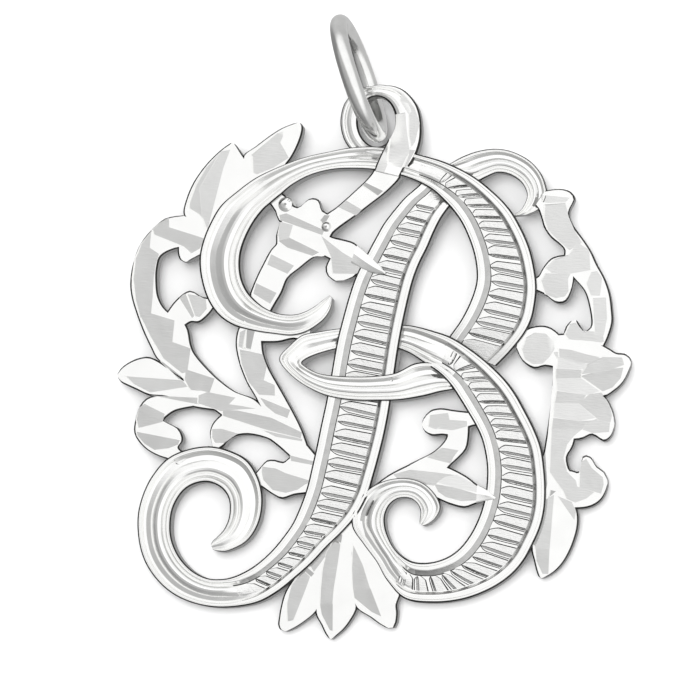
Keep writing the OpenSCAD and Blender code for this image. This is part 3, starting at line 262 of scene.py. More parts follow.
FAN_RIGHT = [
    (43.6, 23.6, 49.2, 22.4, 0.35), (45.8, 16.5, 51.6, 17.0, 0.2), (45.9, 12.5, 54.0, 12.2, 0.3),
    (45.9, 8.8, 55.6, 9.2, 0.38), (46.9, 6.0, 54.9, 6.7, 0.42), (49.6, 4.2, 55.0, 5.0, 0.42),
    (51.4, 2.9, 54.8, 3.2, 0.45), (52.9, 2.1, 54.3, 2.2, 0.5),
]
EYE_RIBBON = [
    (50.4, 92.6, 56.4, 91.6, 0.5), (49.9, 90.5, 55.2, 89.1, 0.5), (48.5, 88.7, 53.8, 87.5, 0.6),
    (46.5, 86.8, 51.9, 85.8, 0.35), (44.5, 85.0, 49.4, 83.9, 0.65), (42.6, 83.4, 46.8, 81.9, 0.35),
    (40.8, 82.2, 44.0, 79.9, 0.6), (38.8, 80.4, 42.2, 78.4, 0.5), (37.8, 78.4, 41.4, 76.6, 0.5),
]
FLOWER_LEAF = [
    (41.6, 82.2, 41.2, 78.4, 0.5), (40.0, 83.0, 39.6, 79.0, 0.5), (39.3, 85.0, 37.5, 80.0, 0.55),
    (37.5, 85.2, 35.5, 80.5, 0.55), (35.4, 83.6, 33.6, 80.6, 0.5), (33.5, 84.8, 31.6, 80.8, 0.5),
    (32.8, 85.9, 30.9, 82.6, 0.5), (31.6, 86.6, 29.8, 84.2, 0.5),
]
CROSS_RIBBON = [
    (32.6, 82.6, 41.6, 79.4, 0.5), (31.7, 80.4, 41.4, 77.0, 0.3), (31.0, 78.0, 41.0, 75.2, 0.65),
    (31.0, 76.5, 40.8, 73.9, 0.4), (29.9, 75.2, 38.6, 73.8, 0.3), (28.6, 72.8, 35.8, 71.7, 0.65),
    (27.4, 70.4, 33.5, 69.8, 0.35), (26.4, 68.0, 32.3, 67.0, 0.65), (26.0, 66.3, 30.9, 64.6, 0.4),
    (27.2, 63.6, 29.8, 62.6, 0.5),
]
STEM_LEAF = [
    (39.6, 79.0, 39.6, 74.4, 0.5), (42.0, 77.8, 41.6, 73.3, 0.45), (44.4, 77.2, 43.6, 72.4, 0.45),
    (46.4, 76.5, 45.6, 71.4, 0.45), (48.2, 74.7, 47.4, 70.2, 0.5), (50.4, 73.2, 49.4, 69.6, 0.5),
]
STEM_LOBE = [
    (41.7, 74.0, 46.6, 73.2, 0.5), (40.7, 71.9, 47.2, 71.2, 0.5), (41.1, 70.2, 46.4, 70.0, 0.5),
    (42.4, 69.2, 44.6, 69.3, 0.5),
]
RIGHT_SCROLL = [
    (83.4, 86.4, 81.4, 83.4, 0.5), (86.2, 86.7, 82.0, 82.6, 0.6), (88.3, 86.1, 82.3, 81.8, 0.5),
    (89.1, 84.7, 82.6, 80.9, 0.5), (88.3, 83.1, 82.8, 80.1, 0.5), (88.0, 81.5, 83.1, 79.2, 0.45),
    (88.9, 79.4, 84.2, 77.5, 0.45), (90.8, 76.8, 86.0, 76.0, 0.45), (92.3, 74.4, 87.0, 74.7, 0.45),
    (93.4, 72.0, 86.8, 72.0, 0.5), (94.9, 69.2, 88.6, 69.6, 0.55), (95.9, 66.2, 90.8, 67.0, 0.45),
    (96.3, 63.3, 91.8, 63.9, 0.45), (96.4, 60.8, 92.2, 60.4, 0.5), (95.6, 58.0, 91.0, 59.0, 0.5),
    (94.8, 56.3, 88.0, 56.8, 0.5),
]
SCROLL_END = [
    (88.2, 74.0, 88.9, 70.2, 0.5), (86.0, 73.8, 88.6, 67.4, 0.5), (84.4, 73.2, 87.4, 64.9, 0.5),
    (83.0, 71.6, 85.4, 64.7, 0.5), (82.1, 70.0, 83.2, 66.3, 0.5), (81.0, 69.4, 81.0, 67.2, 0.5),
]
ROUND_LOBE = [
    (78.2, 57.6, 77.8, 55.8, 0.5), (79.8, 59.6, 79.0, 53.4, 0.5), (82.4, 60.3, 81.2, 52.0, 0.5),
    (84.6, 59.8, 83.3, 52.4, 0.5), (86.6, 58.1, 85.4, 52.0, 0.5),
]
SMALL_LOBE = [
    (86.6, 57.4, 91.4, 58.4, 0.5), (87.3, 60.0, 90.3, 59.9, 0.5), (88.3, 61.1, 89.5, 61.2, 0.5),
]
RIGHT_LEAF = [
    (85.0, 58.6, 84.8, 48.0, 0.5), (90.0, 58.6, 90.0, 47.6, 0.4), (95.0, 56.2, 94.3, 46.4, 0.35),
    (97.0, 55.0, 96.6, 47.5, 0.45), (98.6, 54.8, 98.3, 49.1, 0.5), (99.6, 54.1, 99.4, 51.2, 0.5),
    (99.9, 53.2, 99.8, 52.4, 0.5),
]
RIGHT_LOBE = [
    (84.8, 49.0, 83.8, 38.0, 0.5), (90.0, 48.5, 89.8, 38.2, 0.4), (93.2, 47.4, 92.4, 39.1, 0.5),
    (95.2, 46.2, 94.6, 37.9, 0.5), (96.4, 43.6, 96.0, 38.8, 0.5), (96.75, 41.6, 96.6, 40.4, 0.5),
]
LOWER_LOBE = [
    (85.0, 33.0, 85.4, 24.6, 0.5), (88.6, 32.4, 88.9, 24.9, 0.5), (90.0, 32.2, 90.8, 25.0, 0.5),
    (90.6, 35.0, 92.4, 25.4, 0.4), (92.0, 35.0, 93.6, 26.1, 0.5), (93.2, 33.2, 94.5, 27.1, 0.5),
    (94.6, 32.2, 95.1, 28.4, 0.5), (95.35, 30.6, 95.4, 29.6, 0.5),
]
RIGHT_SPINE = [
    (84.9, 52.0, 90.0, 52.0, 0.5), (84.6, 47.0, 89.8, 47.0, 0.5), (84.0, 42.0, 89.6, 41.0, 0.5),
    (83.3, 37.3, 88.9, 37.2, 0.5), (82.9, 34.6, 87.7, 35.0, 0.5), (82.7, 32.4, 88.1, 32.6, 0.5),
    (82.6, 30.5, 89.2, 31.0, 0.5), (82.4, 27.0, 89.4, 27.5, 0.5),
]
DROP_LEAF = [
    (83.2, 29.5, 87.0, 28.0, 0.45), (82.4, 26.0, 89.4, 25.2, 0.4), (81.4, 21.5, 89.8, 22.0, 0.38),
    (80.7, 17.6, 88.8, 18.2, 0.4), (81.2, 15.0, 87.2, 15.0, 0.45), (81.7, 13.0, 85.4, 13.0, 0.48),
    (82.1, 12.0, 83.8, 12.0, 0.5), (82.5, 11.7, 83.0, 11.7, 0.5),
]
COUNTER_LOBE = [
    (70.4, 43.6, 70.2, 41.0, 0.5), (68.0, 43.8, 68.6, 40.6, 0.5), (65.6, 44.1, 66.2, 39.0, 0.45),
    (63.2, 44.45, 63.6, 39.2, 0.45), (61.2, 44.0, 61.6, 39.1, 0.5), (59.9, 42.6, 60.2, 39.8, 0.5),
    (59.6, 41.6, 59.65, 40.8, 0.5),
]
COUNTER_RIBBON = [
    (63.9, 41.0, 68.8, 41.4, 0.5), (64.3, 39.0, 68.7, 38.8, 0.5), (63.2, 37.3, 68.2, 36.5, 0.4),
    (61.4, 35.8, 66.6, 34.7, 0.5), (59.0, 34.6, 65.0, 33.2, 0.5), (57.0, 33.6, 63.0, 30.6, 0.5),
]
COUNTER_LEAF = [
    (49.4, 28.8, 50.4, 26.8, 0.5), (52.8, 31.4, 53.5, 28.5, 0.5), (56.4, 33.3, 57.0, 29.0, 0.5),
    (59.5, 34.6, 60.5, 28.0, 0.5), (62.8, 33.8, 63.3, 26.6, 0.45), (65.6, 32.7, 65.2, 25.8, 0.45),
    (68.2, 31.3, 67.8, 25.2, 0.5), (70.4, 29.6, 70.0, 25.9, 0.5), (73.0, 28.4, 72.8, 26.6, 0.5),
]
STEM_TIP = [
    (47.0, 76.0, 45.8, 72.6, 0.5, 0.2), (49.0, 74.3, 47.8, 71.4, 0.5, 0.3),
    (51.0, 72.4, 50.0, 70.6, 0.5, 0.3), (52.6, 70.8, 52.4, 70.3, 0.5, 0),
]
BOWL_TIP = [
    (70.4, 29.6, 70.2, 26.0, 0.5, 0.2), (72.3, 28.6, 72.1, 26.4, 0.5, 0.2),
    (74.0, 27.2, 73.9, 26.8, 0.5, 0),
]
EYE_ROOT = [
    (53.0, 96.6, 58.5, 97.0, 0.5, 0), (51.9, 94.4, 57.7, 94.2, 0.45, 0.4),
    (50.9, 92.3, 56.5, 91.8, 0.4, 0.5), (50.2, 90.5, 55.3, 89.3, 0.4, 0.5),
]
BEADS = [
    (32.9, 84.1, 1.0),
    (40.9, 79.7, 0.7),
]
EYE_ROWS = [
    (300, 0.90, 0.80), (276, 0.75, 0.80), (254, 0.75, 0.80),
    (230, 0.82, 0.84), (206, 0.88, 0.88), (180, 0.90, 0.92),
    (155, 0.88, 0.95), (128, 0.74, 0.98), (100, 0.56, 1.00),
    (72, 0.66, 1.00), (45, 0.98, 1.00), (18, 1.22, 1.00),
    (-8, 1.35, 1.02), (-32, 1.55, 1.06), (-52, 1.75, 1.10),
]

LEAVES = [
    TOP_LEAF, UPPER_LEAF, FRAME_RIBBON, LEFT_LEAF, LEFT_LOBE,
    HANGING_LOBE, SCROLL_LOBE, WAIST_RIBBON, SCROLL_LINK, SMALL_LEAF,
    ROOT_LEAF, FAN_LEFT, FAN_MIDDLE, FAN_RIGHT, EYE_RIBBON,
    FLOWER_LEAF, CROSS_RIBBON, STEM_LEAF, STEM_LOBE, RIGHT_SCROLL,
    SCROLL_END, ROUND_LOBE, SMALL_LOBE, RIGHT_LEAF, RIGHT_LOBE,
    LOWER_LOBE, RIGHT_SPINE, DROP_LEAF, COUNTER_LOBE, COUNTER_RIBBON,
    COUNTER_LEAF,
]


def node(tree, kind, inputs, operation=None):
    """A new node; each named input gets its value or a link from another node's output."""
    made = tree.nodes.new("ShaderNode" + kind)
    if operation:
        made.operation = operation
    for name, value in inputs.items():
        if isinstance(value, bpy.types.NodeSocket):
            tree.links.new(value, made.inputs[name])
        else:
            made.inputs[name].default_value = value
    return made


def node_material(name, base, rough, grain, bump, scratch):
    """Polished or satin metal: its roughness wanders a little and fine scratches cross it."""
    mat = bpy.data.materials.new(name)
    mat.use_nodes = True
    tree = mat.node_tree
    tree.nodes.clear()
    place = node(tree, "TexCoord", {}).outputs["Object"]
    cloud = node(tree, "TexNoise", {"Scale": grain, "Detail": 4, "Vector": place}).outputs["Fac"]
    gloss = node(tree, "MapRange", {
        "From Min": 0.3, "From Max": 0.7, "To Min": rough[0], "To Max": rough[1], "Value": cloud})
    shade = node(tree, "ValToRGB", {"Fac": cloud})
    for stop, at, level in zip(shade.color_ramp.elements, (0.3, 0.7), base):
        stop.position = at
        stop.color = (*level, 1)
    stretch = node(tree, "Mapping", {
        "Rotation": (0, 0, scratch[0]), "Scale": scratch[1], "Vector": place})
    lines = node(tree, "TexNoise", {
        "Scale": 1.0, "Detail": 3, "Vector": stretch.outputs["Vector"]})
    relief = node(tree, "Bump", {
        "Strength": bump, "Distance": 0.00002, "Height": lines.outputs["Fac"]})
    shader = node(tree, "BsdfPrincipled", {
        "Metallic": 1.0, "Roughness": gloss.outputs["Result"],
        "Base Color": shade.outputs["Color"], "Normal": relief.outputs["Normal"]})
    node(tree, "OutputMaterial", {"Surface": shader.outputs["BSDF"]})
    return mat


# Name, darkest and lightest colour, roughness, grain, bump, turn and fineness of the scratches
bright = node_material(
    "bright_cut_silver", ((0.90, 0.90, 0.89), (0.95, 0.95, 0.94)), (0.10, 0.18),
    900, 0.13, (0.5, (2500, 12000, 6000)))
satin = node_material(
    "satin_silver", ((0.84, 0.84, 0.83), (0.95, 0.95, 0.94)), (0.16, 0.32),
    2600, 0.8, (0.2, (5000, 16000, 9000)))
# Near-black silver for the rounded edge corners and fine lines: painted shade, standing in for the dark
# outlines that shade and dark reflections give
shade_line_silver = node_material(
    "painted_shade_edge_silver", ((0.03, 0.03, 0.029), (0.06, 0.06, 0.058)), (0.34, 0.48),
    2500, 0.5, (0.0, (9000, 9000, 9000)))
# Darkened silver for the side walls, ends and underside: painted shade, standing in for the dark the sides
# take from shade and dark surroundings
side = node_material(
    "painted_shade_side_silver", ((0.29, 0.29, 0.286), (0.42, 0.42, 0.415)), (0.26, 0.40),
    2500, 0.5, (0.0, (6000, 6000, 14000)))
# Mid-grey silver for the engraved grooves and ribbed channel slopes: painted shade on those faces
cut = node_material(
    "painted_shade_groove_silver", ((0.46, 0.46, 0.453), (0.56, 0.56, 0.553)), (0.18, 0.30),
    3000, 0.4, (0.1, (4000, 16000, 8000)))
wire = node_material(
    "drawn_silver_wire", ((0.82, 0.82, 0.81), (0.91, 0.91, 0.90)), (0.12, 0.22),
    1200, 0.2, (0.0, (6000, 6000, 6000)))


def on_plate(x, y):
    return np.array([x * PLATE_W / 100, y * PLATE_H / 100])


def spline(rows, step):
    """Curve through table rows; returns the finer rows and, for each, its place in the table."""
    rows = np.array(rows, float)
    n = len(rows)
    out = []
    place = []
    for i in range(n - 1):
        a = rows[max(i - 1, 0)]
        b = rows[i]
        c = rows[i + 1]
        d = rows[min(i + 2, n - 1)]
        gap = max(
            np.linalg.norm(on_plate(*(c[0:2] - b[0:2]))),
            np.linalg.norm(on_plate(*(c[2:4] - b[2:4]))),
        )
        steps = max(1, int(math.ceil(gap / step)))
        for j in range(steps):
            t = j / steps
            out.append(
                b
                + (c - a) * t / 2
                + (a - 2.5 * b + 2 * c - d / 2) * t**2
                + (1.5 * b - a / 2 - 1.5 * c + d / 2) * t**3
            )
            place.append(i + t)
    out.append(rows[-1])
    place.append(n - 1)
    return np.array(out), np.array(place)


class Shell:
    """Collects closed lofts into one bmesh, with a material slot for each face strip."""

    def __init__(self):
        self.bm = bmesh.new()

    def loft(self, sections, slots):
        """slots: one for each strip of faces, or one such list for each section."""
        sections = np.asarray(sections, float)
        n, m, _ = sections.shape
        slots = np.broadcast_to(slots, (n, m)).tolist()
        verts = [[self.bm.verts.new(p * MM) for p in s] for s in sections]
        faces = []
        for i in range(n - 1):
            for j in range(m):
                k = (j + 1) % m
                f = self.bm.faces.new((verts[i][j], verts[i][k], verts[i + 1][k], verts[i + 1][j]))
                f.material_index = slots[i][j]
                faces.append(f)
        for ring in (verts[0][::-1], verts[-1]):
            f = self.bm.faces.new(ring)
            f.material_index = SIDE
            faces.append(f)
        return faces

    def object(self, name):
        bmesh.ops.recalc_face_normals(self.bm, faces=self.bm.faces)
        mesh = bpy.data.meshes.new(name)
        for mat in (bright, satin, shade_line_silver, cut, side):
            mesh.materials.append(mat)
        self.bm.to_mesh(mesh)
        self.bm.free()
        obj = bpy.data.objects.new(name, mesh)
        bpy.context.scene.collection.objects.link(obj)
        return obj


def section(row, outline):
    """Points in space of a section given as (share across, height) pairs."""
    right = on_plate(row[0], row[1])
    left = on_plate(row[2], row[3])
    return [np.append(right + (left - right) * u, z) for u, z in outline]


def span(row):
    return max(np.linalg.norm(on_plate(row[2] - row[0], row[3] - row[1])), 0.05)


# Scroll crossing from its inner edge to its outer edge: share across and drop below the rim
SCROLL = (
    (0.015, 0.035), (0.045, 0.0), (0.062, 0.0), (0.07, 0.02), (0.078, 0.0), (0.115, 0.0),
    (0.13, 0.03), (0.165, 0.16), (0.20, 0.24), (0.25, 0.24), (0.30, 0.11), (0.345, 0.045),
    (0.40, 0.03), (0.46, 0.06), (0.52, 0.14), (0.62, 0.27), (0.76, 0.33), (0.83, 0.24),
    (0.862, 0.03), (0.88, 0.0), (0.918, 0.0), (0.926, 0.02), (0.934, 0.0), (0.955, 0.0),
    (0.985, 0.035),
)


def channel_half(w, rim, foot, deep):
    """From the stroke's edge over its rim and down the slope: share across, drop below the rim."""
    bevel = min(EDGE_BEVEL, w / 6) / w
    line = bevel + (rim - bevel) * 0.3
    return [
        (bevel * 0.35, LINE_DROP),
        (bevel, 0.0),
        (line - LINE_W / w, 0.0),
        (line, LINE_DROP),
        (line + LINE_W / w, 0.0),
        (rim - bevel * 0.5, 0.0),
        (rim, 0.02),
        (rim + (foot - rim) * 0.35, deep * 0.45),
        (foot - bevel * 0.25, deep * 0.9),
        (foot + bevel * 0.25, deep),
        (foot + MARGIN_W / w, deep),
    ]


def channel_feet(w):
    """Where the channel's floor starts at its wide slope and ends at its narrow one."""
    wide = min(RIM_WIDE_W / w, RIM_LIMIT) + min(SLOPE_WIDE_W / w, SLOPE_WIDE_LIMIT)
    narrow = min(RIM_W / w, RIM_LIMIT) + min(SLOPE_W / w, SLOPE_LIMIT)
    return wide, narrow


def stroke_outline(row):
    w = span(row)
    top = STROKE_T * row[4]
    sunk = min(1.0, max(0.0, row[5]))
    small = min(1, w / FULL_SPAN)
    deep = FLOOR_DROP * small
    wide, narrow = channel_feet(w)
    channel = channel_half(w, min(RIM_WIDE_W / w, RIM_LIMIT), wide, deep)
    channel += [(0.42, deep), (0.5, deep), (0.58, deep)]
    far = channel_half(w, min(RIM_W / w, RIM_LIMIT), narrow, deep)
    channel += [(1 - u, d) for u, d in far[::-1]]
    points = [(0.0, 0.0), (0.0, top - EDGE_BEVEL)]
    for (us, ds), (uc, dc) in zip(SCROLL, channel):
        u = us + (uc - us) * sunk
        d = ds * small + (dc - ds * small) * sunk
        points.append((u, top - d))
    points += [(1.0, top - EDGE_BEVEL), (1.0, 0.0)]
    return points


def stroke(shell, rows):
    fine, _ = spline(rows, STROKE_STEP)
    sections = [section(row, stroke_outline(row)) for row in fine]
    m = len(sections[0])
    slots = []
    for row in fine:
        strips = edge_slots(m)
        # The ribbed channel's slope strips take the grey groove silver and a near-black line: painted shade
        for i in (8, 9, 10):
            strips[i] = CUT if row[5] > 0.9 else BRIGHT
        if row[5] > 0.5:
            strips[12:m - 12] = [SATIN] * (m - 24)
            strips[10] = SHADE_LINE
            strips[m - 10] = CUT
        slots.append(strips)
    shell.loft(sections, slots)


def edge_slots(m, edge=SHADE_LINE):
    """The sides and the underside take the darkened side silver, painted shade; the rounded corner of each
    edge takes the edge slot, near-black painted shade unless another is given.
    """
    slots = [BRIGHT] * m
    for i in (1, 2, m - 4, m - 3):
        slots[i] = edge
    for i in (0, m - 2, m - 1):
        slots[i] = SIDE
    return slots


def leaf_outline(row, top):
    w = span(row)
    lift = CREASE_H * row[5] if len(row) > 5 else 0.0
    bevel = min(EDGE_BEVEL, w / 6) / w
    crease = min(1 - bevel - 0.04, max(bevel + 0.04, row[4]))
    return [
        (0.0, 0.0),
        (0.0, top - EDGE_BEVEL),
        (bevel * 0.3, top - EDGE_BEVEL * 0.35),
        (bevel, top),
        (crease, top + lift),
        (1 - bevel, top),
        (1 - bevel * 0.3, top - EDGE_BEVEL * 0.35),
        (1.0, top - EDGE_BEVEL),
        (1.0, 0.0),
    ]


def leaf(shell, rows, top, edge=SHADE_LINE):
    fine, place = spline(rows, LEAF_STEP)
    rows = np.array(rows, float)
    index = np.arange(len(rows))
    for c in range(4, rows.shape[1]):
        fine[:, c] = np.interp(place, index, rows[:, c])
    sections = [section(row, leaf_outline(row, top)) for row in fine]
    shell.loft(sections, edge_slots(len(sections[0]), edge))


class Channel:
    """A stroke's fine rows by distance along its middle."""

    def __init__(self, rows):
        self.rows, _ = spline(rows, STROKE_STEP)
        middle = (self.rows[:, 0:2] + self.rows[:, 2:4]) / 2 * [PLATE_W / 100, PLATE_H / 100]
        gaps = np.linalg.norm(np.diff(middle, axis=0), axis=1)
        self.run = np.concatenate([[0], np.cumsum(gaps)])
        self.length = self.run[-1]

    def row(self, s):
        return np.array([np.interp(s, self.run, self.rows[:, c]) for c in range(6)])

    def near(self, x, y):
        middle = (self.rows[:, 0:2] + self.rows[:, 2:4]) / 2
        return self.run[np.argmin(np.linalg.norm(middle - [x, y], axis=1))]

    def shear(self, s, tilt):
        row = self.row(s)
        square = math.degrees(
            math.atan2((row[3] - row[1]) * PLATE_H, (row[2] - row[0]) * PLATE_W))
        near_level = max(0.0, min(1.0, (abs(square) - LEVEL_FROM) / LEVEL_OVER))
        angle = RIB_TILT + tilt + RIB_FOLLOW * square
        angle += (square - angle) * near_level
        return span(row) * math.tan(math.radians(square - angle))

    def spot(self, s, share, z, tilt):
        row = self.row(s + (share - 0.5) * self.shear(s, tilt))
        right = on_plate(row[0], row[1])
        left = on_plate(row[2], row[3])
        return np.append(right + (left - right) * share, z)


# A cut from its tip to its butt: share of the way, size of its groove, reach of the ledge below
# it as a share of the rib pitch
CUT_TAPER = (
    (0.0, 0.25, 0.84), (0.05, 0.45, 0.76), (0.12, 0.76, 0.66), (0.2, 0.94, 0.57), (0.26, 1.0, 0.53),
    (0.6, 1.0, 0.52), (1.0, 0.9, 0.51),
)
# A cut's near-black line strips are painted shade
CUT_SLOTS = (SHADE_LINE, SATIN, SATIN, SHADE_LINE, BRIGHT, SHADE_LINE, BRIGHT, BRIGHT, BRIGHT)


def rib_cut(shell, channel, s, k):
    """One cut between two ribs, a groove with a ledge under it, each a little unlike the next."""
    row = channel.row(s)
    w = span(row)
    small = min(1, w / FULL_SPAN)
    near, far = channel_feet(w)
    crown = STROKE_T * row[4] - FLOOR_DROP * small
    wave = math.sin(k * 2.4) * 0.5 + math.sin(k * 5.1 + 1) * 0.5
    tilt = 1.6 * math.sin(k * 3.7)
    tip = near + 0.008 + 0.014 * wave
    butt = 1 - far - 0.004
    groove = GROOVE_W * (1 + 0.16 * math.sin(k * 4.3))
    reach = 1 + 0.08 * math.sin(k * 2.9)
    sections = []
    for along, size, ledge in CUT_TAPER:
        share = tip + (butt - tip) * along
        start = 0.08 * (1 - size)
        end = start + groove * size
        low = -CUT_DROP * small * size
        step = -LEDGE_DROP * small
        spots = [
            (start, 0.0),
            (start + 0.04, low * 0.5),
            (start + (end - start) * 0.6, low),
            (end - 0.06, low * 0.9),
            (end, step),
            (ledge * reach - 0.075, step),
            (ledge * reach, 0.0),
            (ledge * reach, CUT_OVER),
            (start, CUT_OVER),
        ]
        sections.append([
            channel.spot(s + (u - 0.25) * RIB_PITCH, share, crown + z, tilt) for u, z in spots
        ])
    faces = shell.loft(sections, CUT_SLOTS)
    # The cut's end faces take the grey groove silver: painted shade
    for f in faces[-2:]:
        f.material_index = CUT


def rib_cuts(shell, rows, first, last):
    channel = Channel(rows)
    start = channel.near(*((np.array(rows[first][0:2]) + rows[first][2:4]) / 2))
    end = channel.near(*((np.array(rows[last][0:2]) + rows[last][2:4]) / 2))
    for k in range(int((end - start) / RIB_PITCH)):
        s = start + (k + 0.5 + 0.04 * math.sin(k * 1.9)) * RIB_PITCH
        rib_cut(shell, channel, s, k)


EYE_CENTER = (50.6, 100.1)


def eye_point(angle, out):
    a = math.radians(angle)
    reach = [(EYE_HOLE_W / 2 + out) * math.cos(a), (EYE_HOLE_L / 2 + out) * math.sin(a)]
    return on_plate(*EYE_CENTER) + reach


# Eye's band from hole to outside: share across and height as a share of the crown
EYE_SECTION = (
    (0.0, 0.0), (0.0, 0.80), (0.03, 0.88), (0.10, 0.95), (0.22, 0.99), (0.36, 1.0),
    (0.50, 0.985), (0.60, 0.95), (0.66, 0.90), (0.70, 0.90), (0.76, 0.945), (0.84, 0.95),
    (0.93, 0.92), (0.98, 0.87), (1.0, 0.80), (1.0, 0.0),
)


def eye(shell):
    table = np.array(EYE_ROWS, float)
    index = np.arange(len(table))
    sections = []
    for t in np.linspace(0, len(table) - 1, (len(table) - 1) * 10 + 1):
        angle, wide, tall = (np.interp(t, index, table[:, c]) for c in range(3))
        inner = eye_point(angle, 0)
        outer = eye_point(angle, EYE_BAND_W * wide)
        sections.append([
            np.append(inner + (outer - inner) * u, EYE_T * tall * z) for u, z in EYE_SECTION
        ])
    shell.loft(sections, edge_slots(len(EYE_SECTION)))


# A bead's outline: height and radius, in shares of its own
BEAD_SECTION = ((0.0, 0.6), (0.8, 0.6), (0.98, 0.57), (1.1, 0.48), (1.19, 0.3), (1.22, 0.1))


def bead(shell, x, y, size):
    middle = on_plate(x, y)
    sections = []
    for z, r in BEAD_SECTION:
        radius = BEAD_D * size * r
        height = (LEAF_T + BEAD_H) * z / BEAD_SECTION[-1][0]
        sections.append([
            (middle[0] + radius * math.cos(a), middle[1] + radius * math.sin(a), height)
            for a in np.linspace(0, 2 * math.pi, 24, endpoint=False)
        ])
    shell.loft(sections, BRIGHT)


# Where the ring stands and how far the casting tips up on it
ring_r = (RING_D - WIRE_D) / 2
ring_foot = on_plate(47.7, 107.4)
ring_z = ring_r * math.cos(RING_LEAN) + WIRE_D / 2
band_y = eye_point(90, 0)[1]
band_run = (band_y - ring_foot[1]) / math.cos(RING_TURN)
bore_r = ring_r - WIRE_D / 2 - RING_GAP
band_z = ring_z - math.sqrt(bore_r**2 - band_run**2) * math.cos(RING_LEAN)
LIE_TILT = math.asin(band_z / band_y)
ring_reach = ring_r * math.sqrt(1 - (math.sin(RING_TURN) * math.cos(RING_LEAN)) ** 2) + WIRE_D / 2
tip_y = -(LEAF_T - EDGE_BEVEL) * math.sin(LIE_TILT)
MID_X = PLATE_W / 2
MID_Y = (ring_foot[1] + ring_reach + tip_y) / 2


def on_table(obj):
    """Turns the flat casting to where it lies on the table."""
    co = np.zeros(len(obj.data.vertices) * 3)
    obj.data.vertices.foreach_get("co", co)
    co = co.reshape(-1, 3) / MM
    c = math.cos(LIE_TILT)
    s = math.sin(LIE_TILT)
    placed = np.empty_like(co)
    placed[:, 0] = co[:, 0] - MID_X
    placed[:, 1] = co[:, 1] * c - co[:, 2] * s - MID_Y
    placed[:, 2] = co[:, 1] * s + co[:, 2] * c
    obj.data.vertices.foreach_set("co", (placed * MM).ravel())
    obj.data.update()


def make(name, fill):
    shell = Shell()
    fill(shell)
    return shell.object(name)


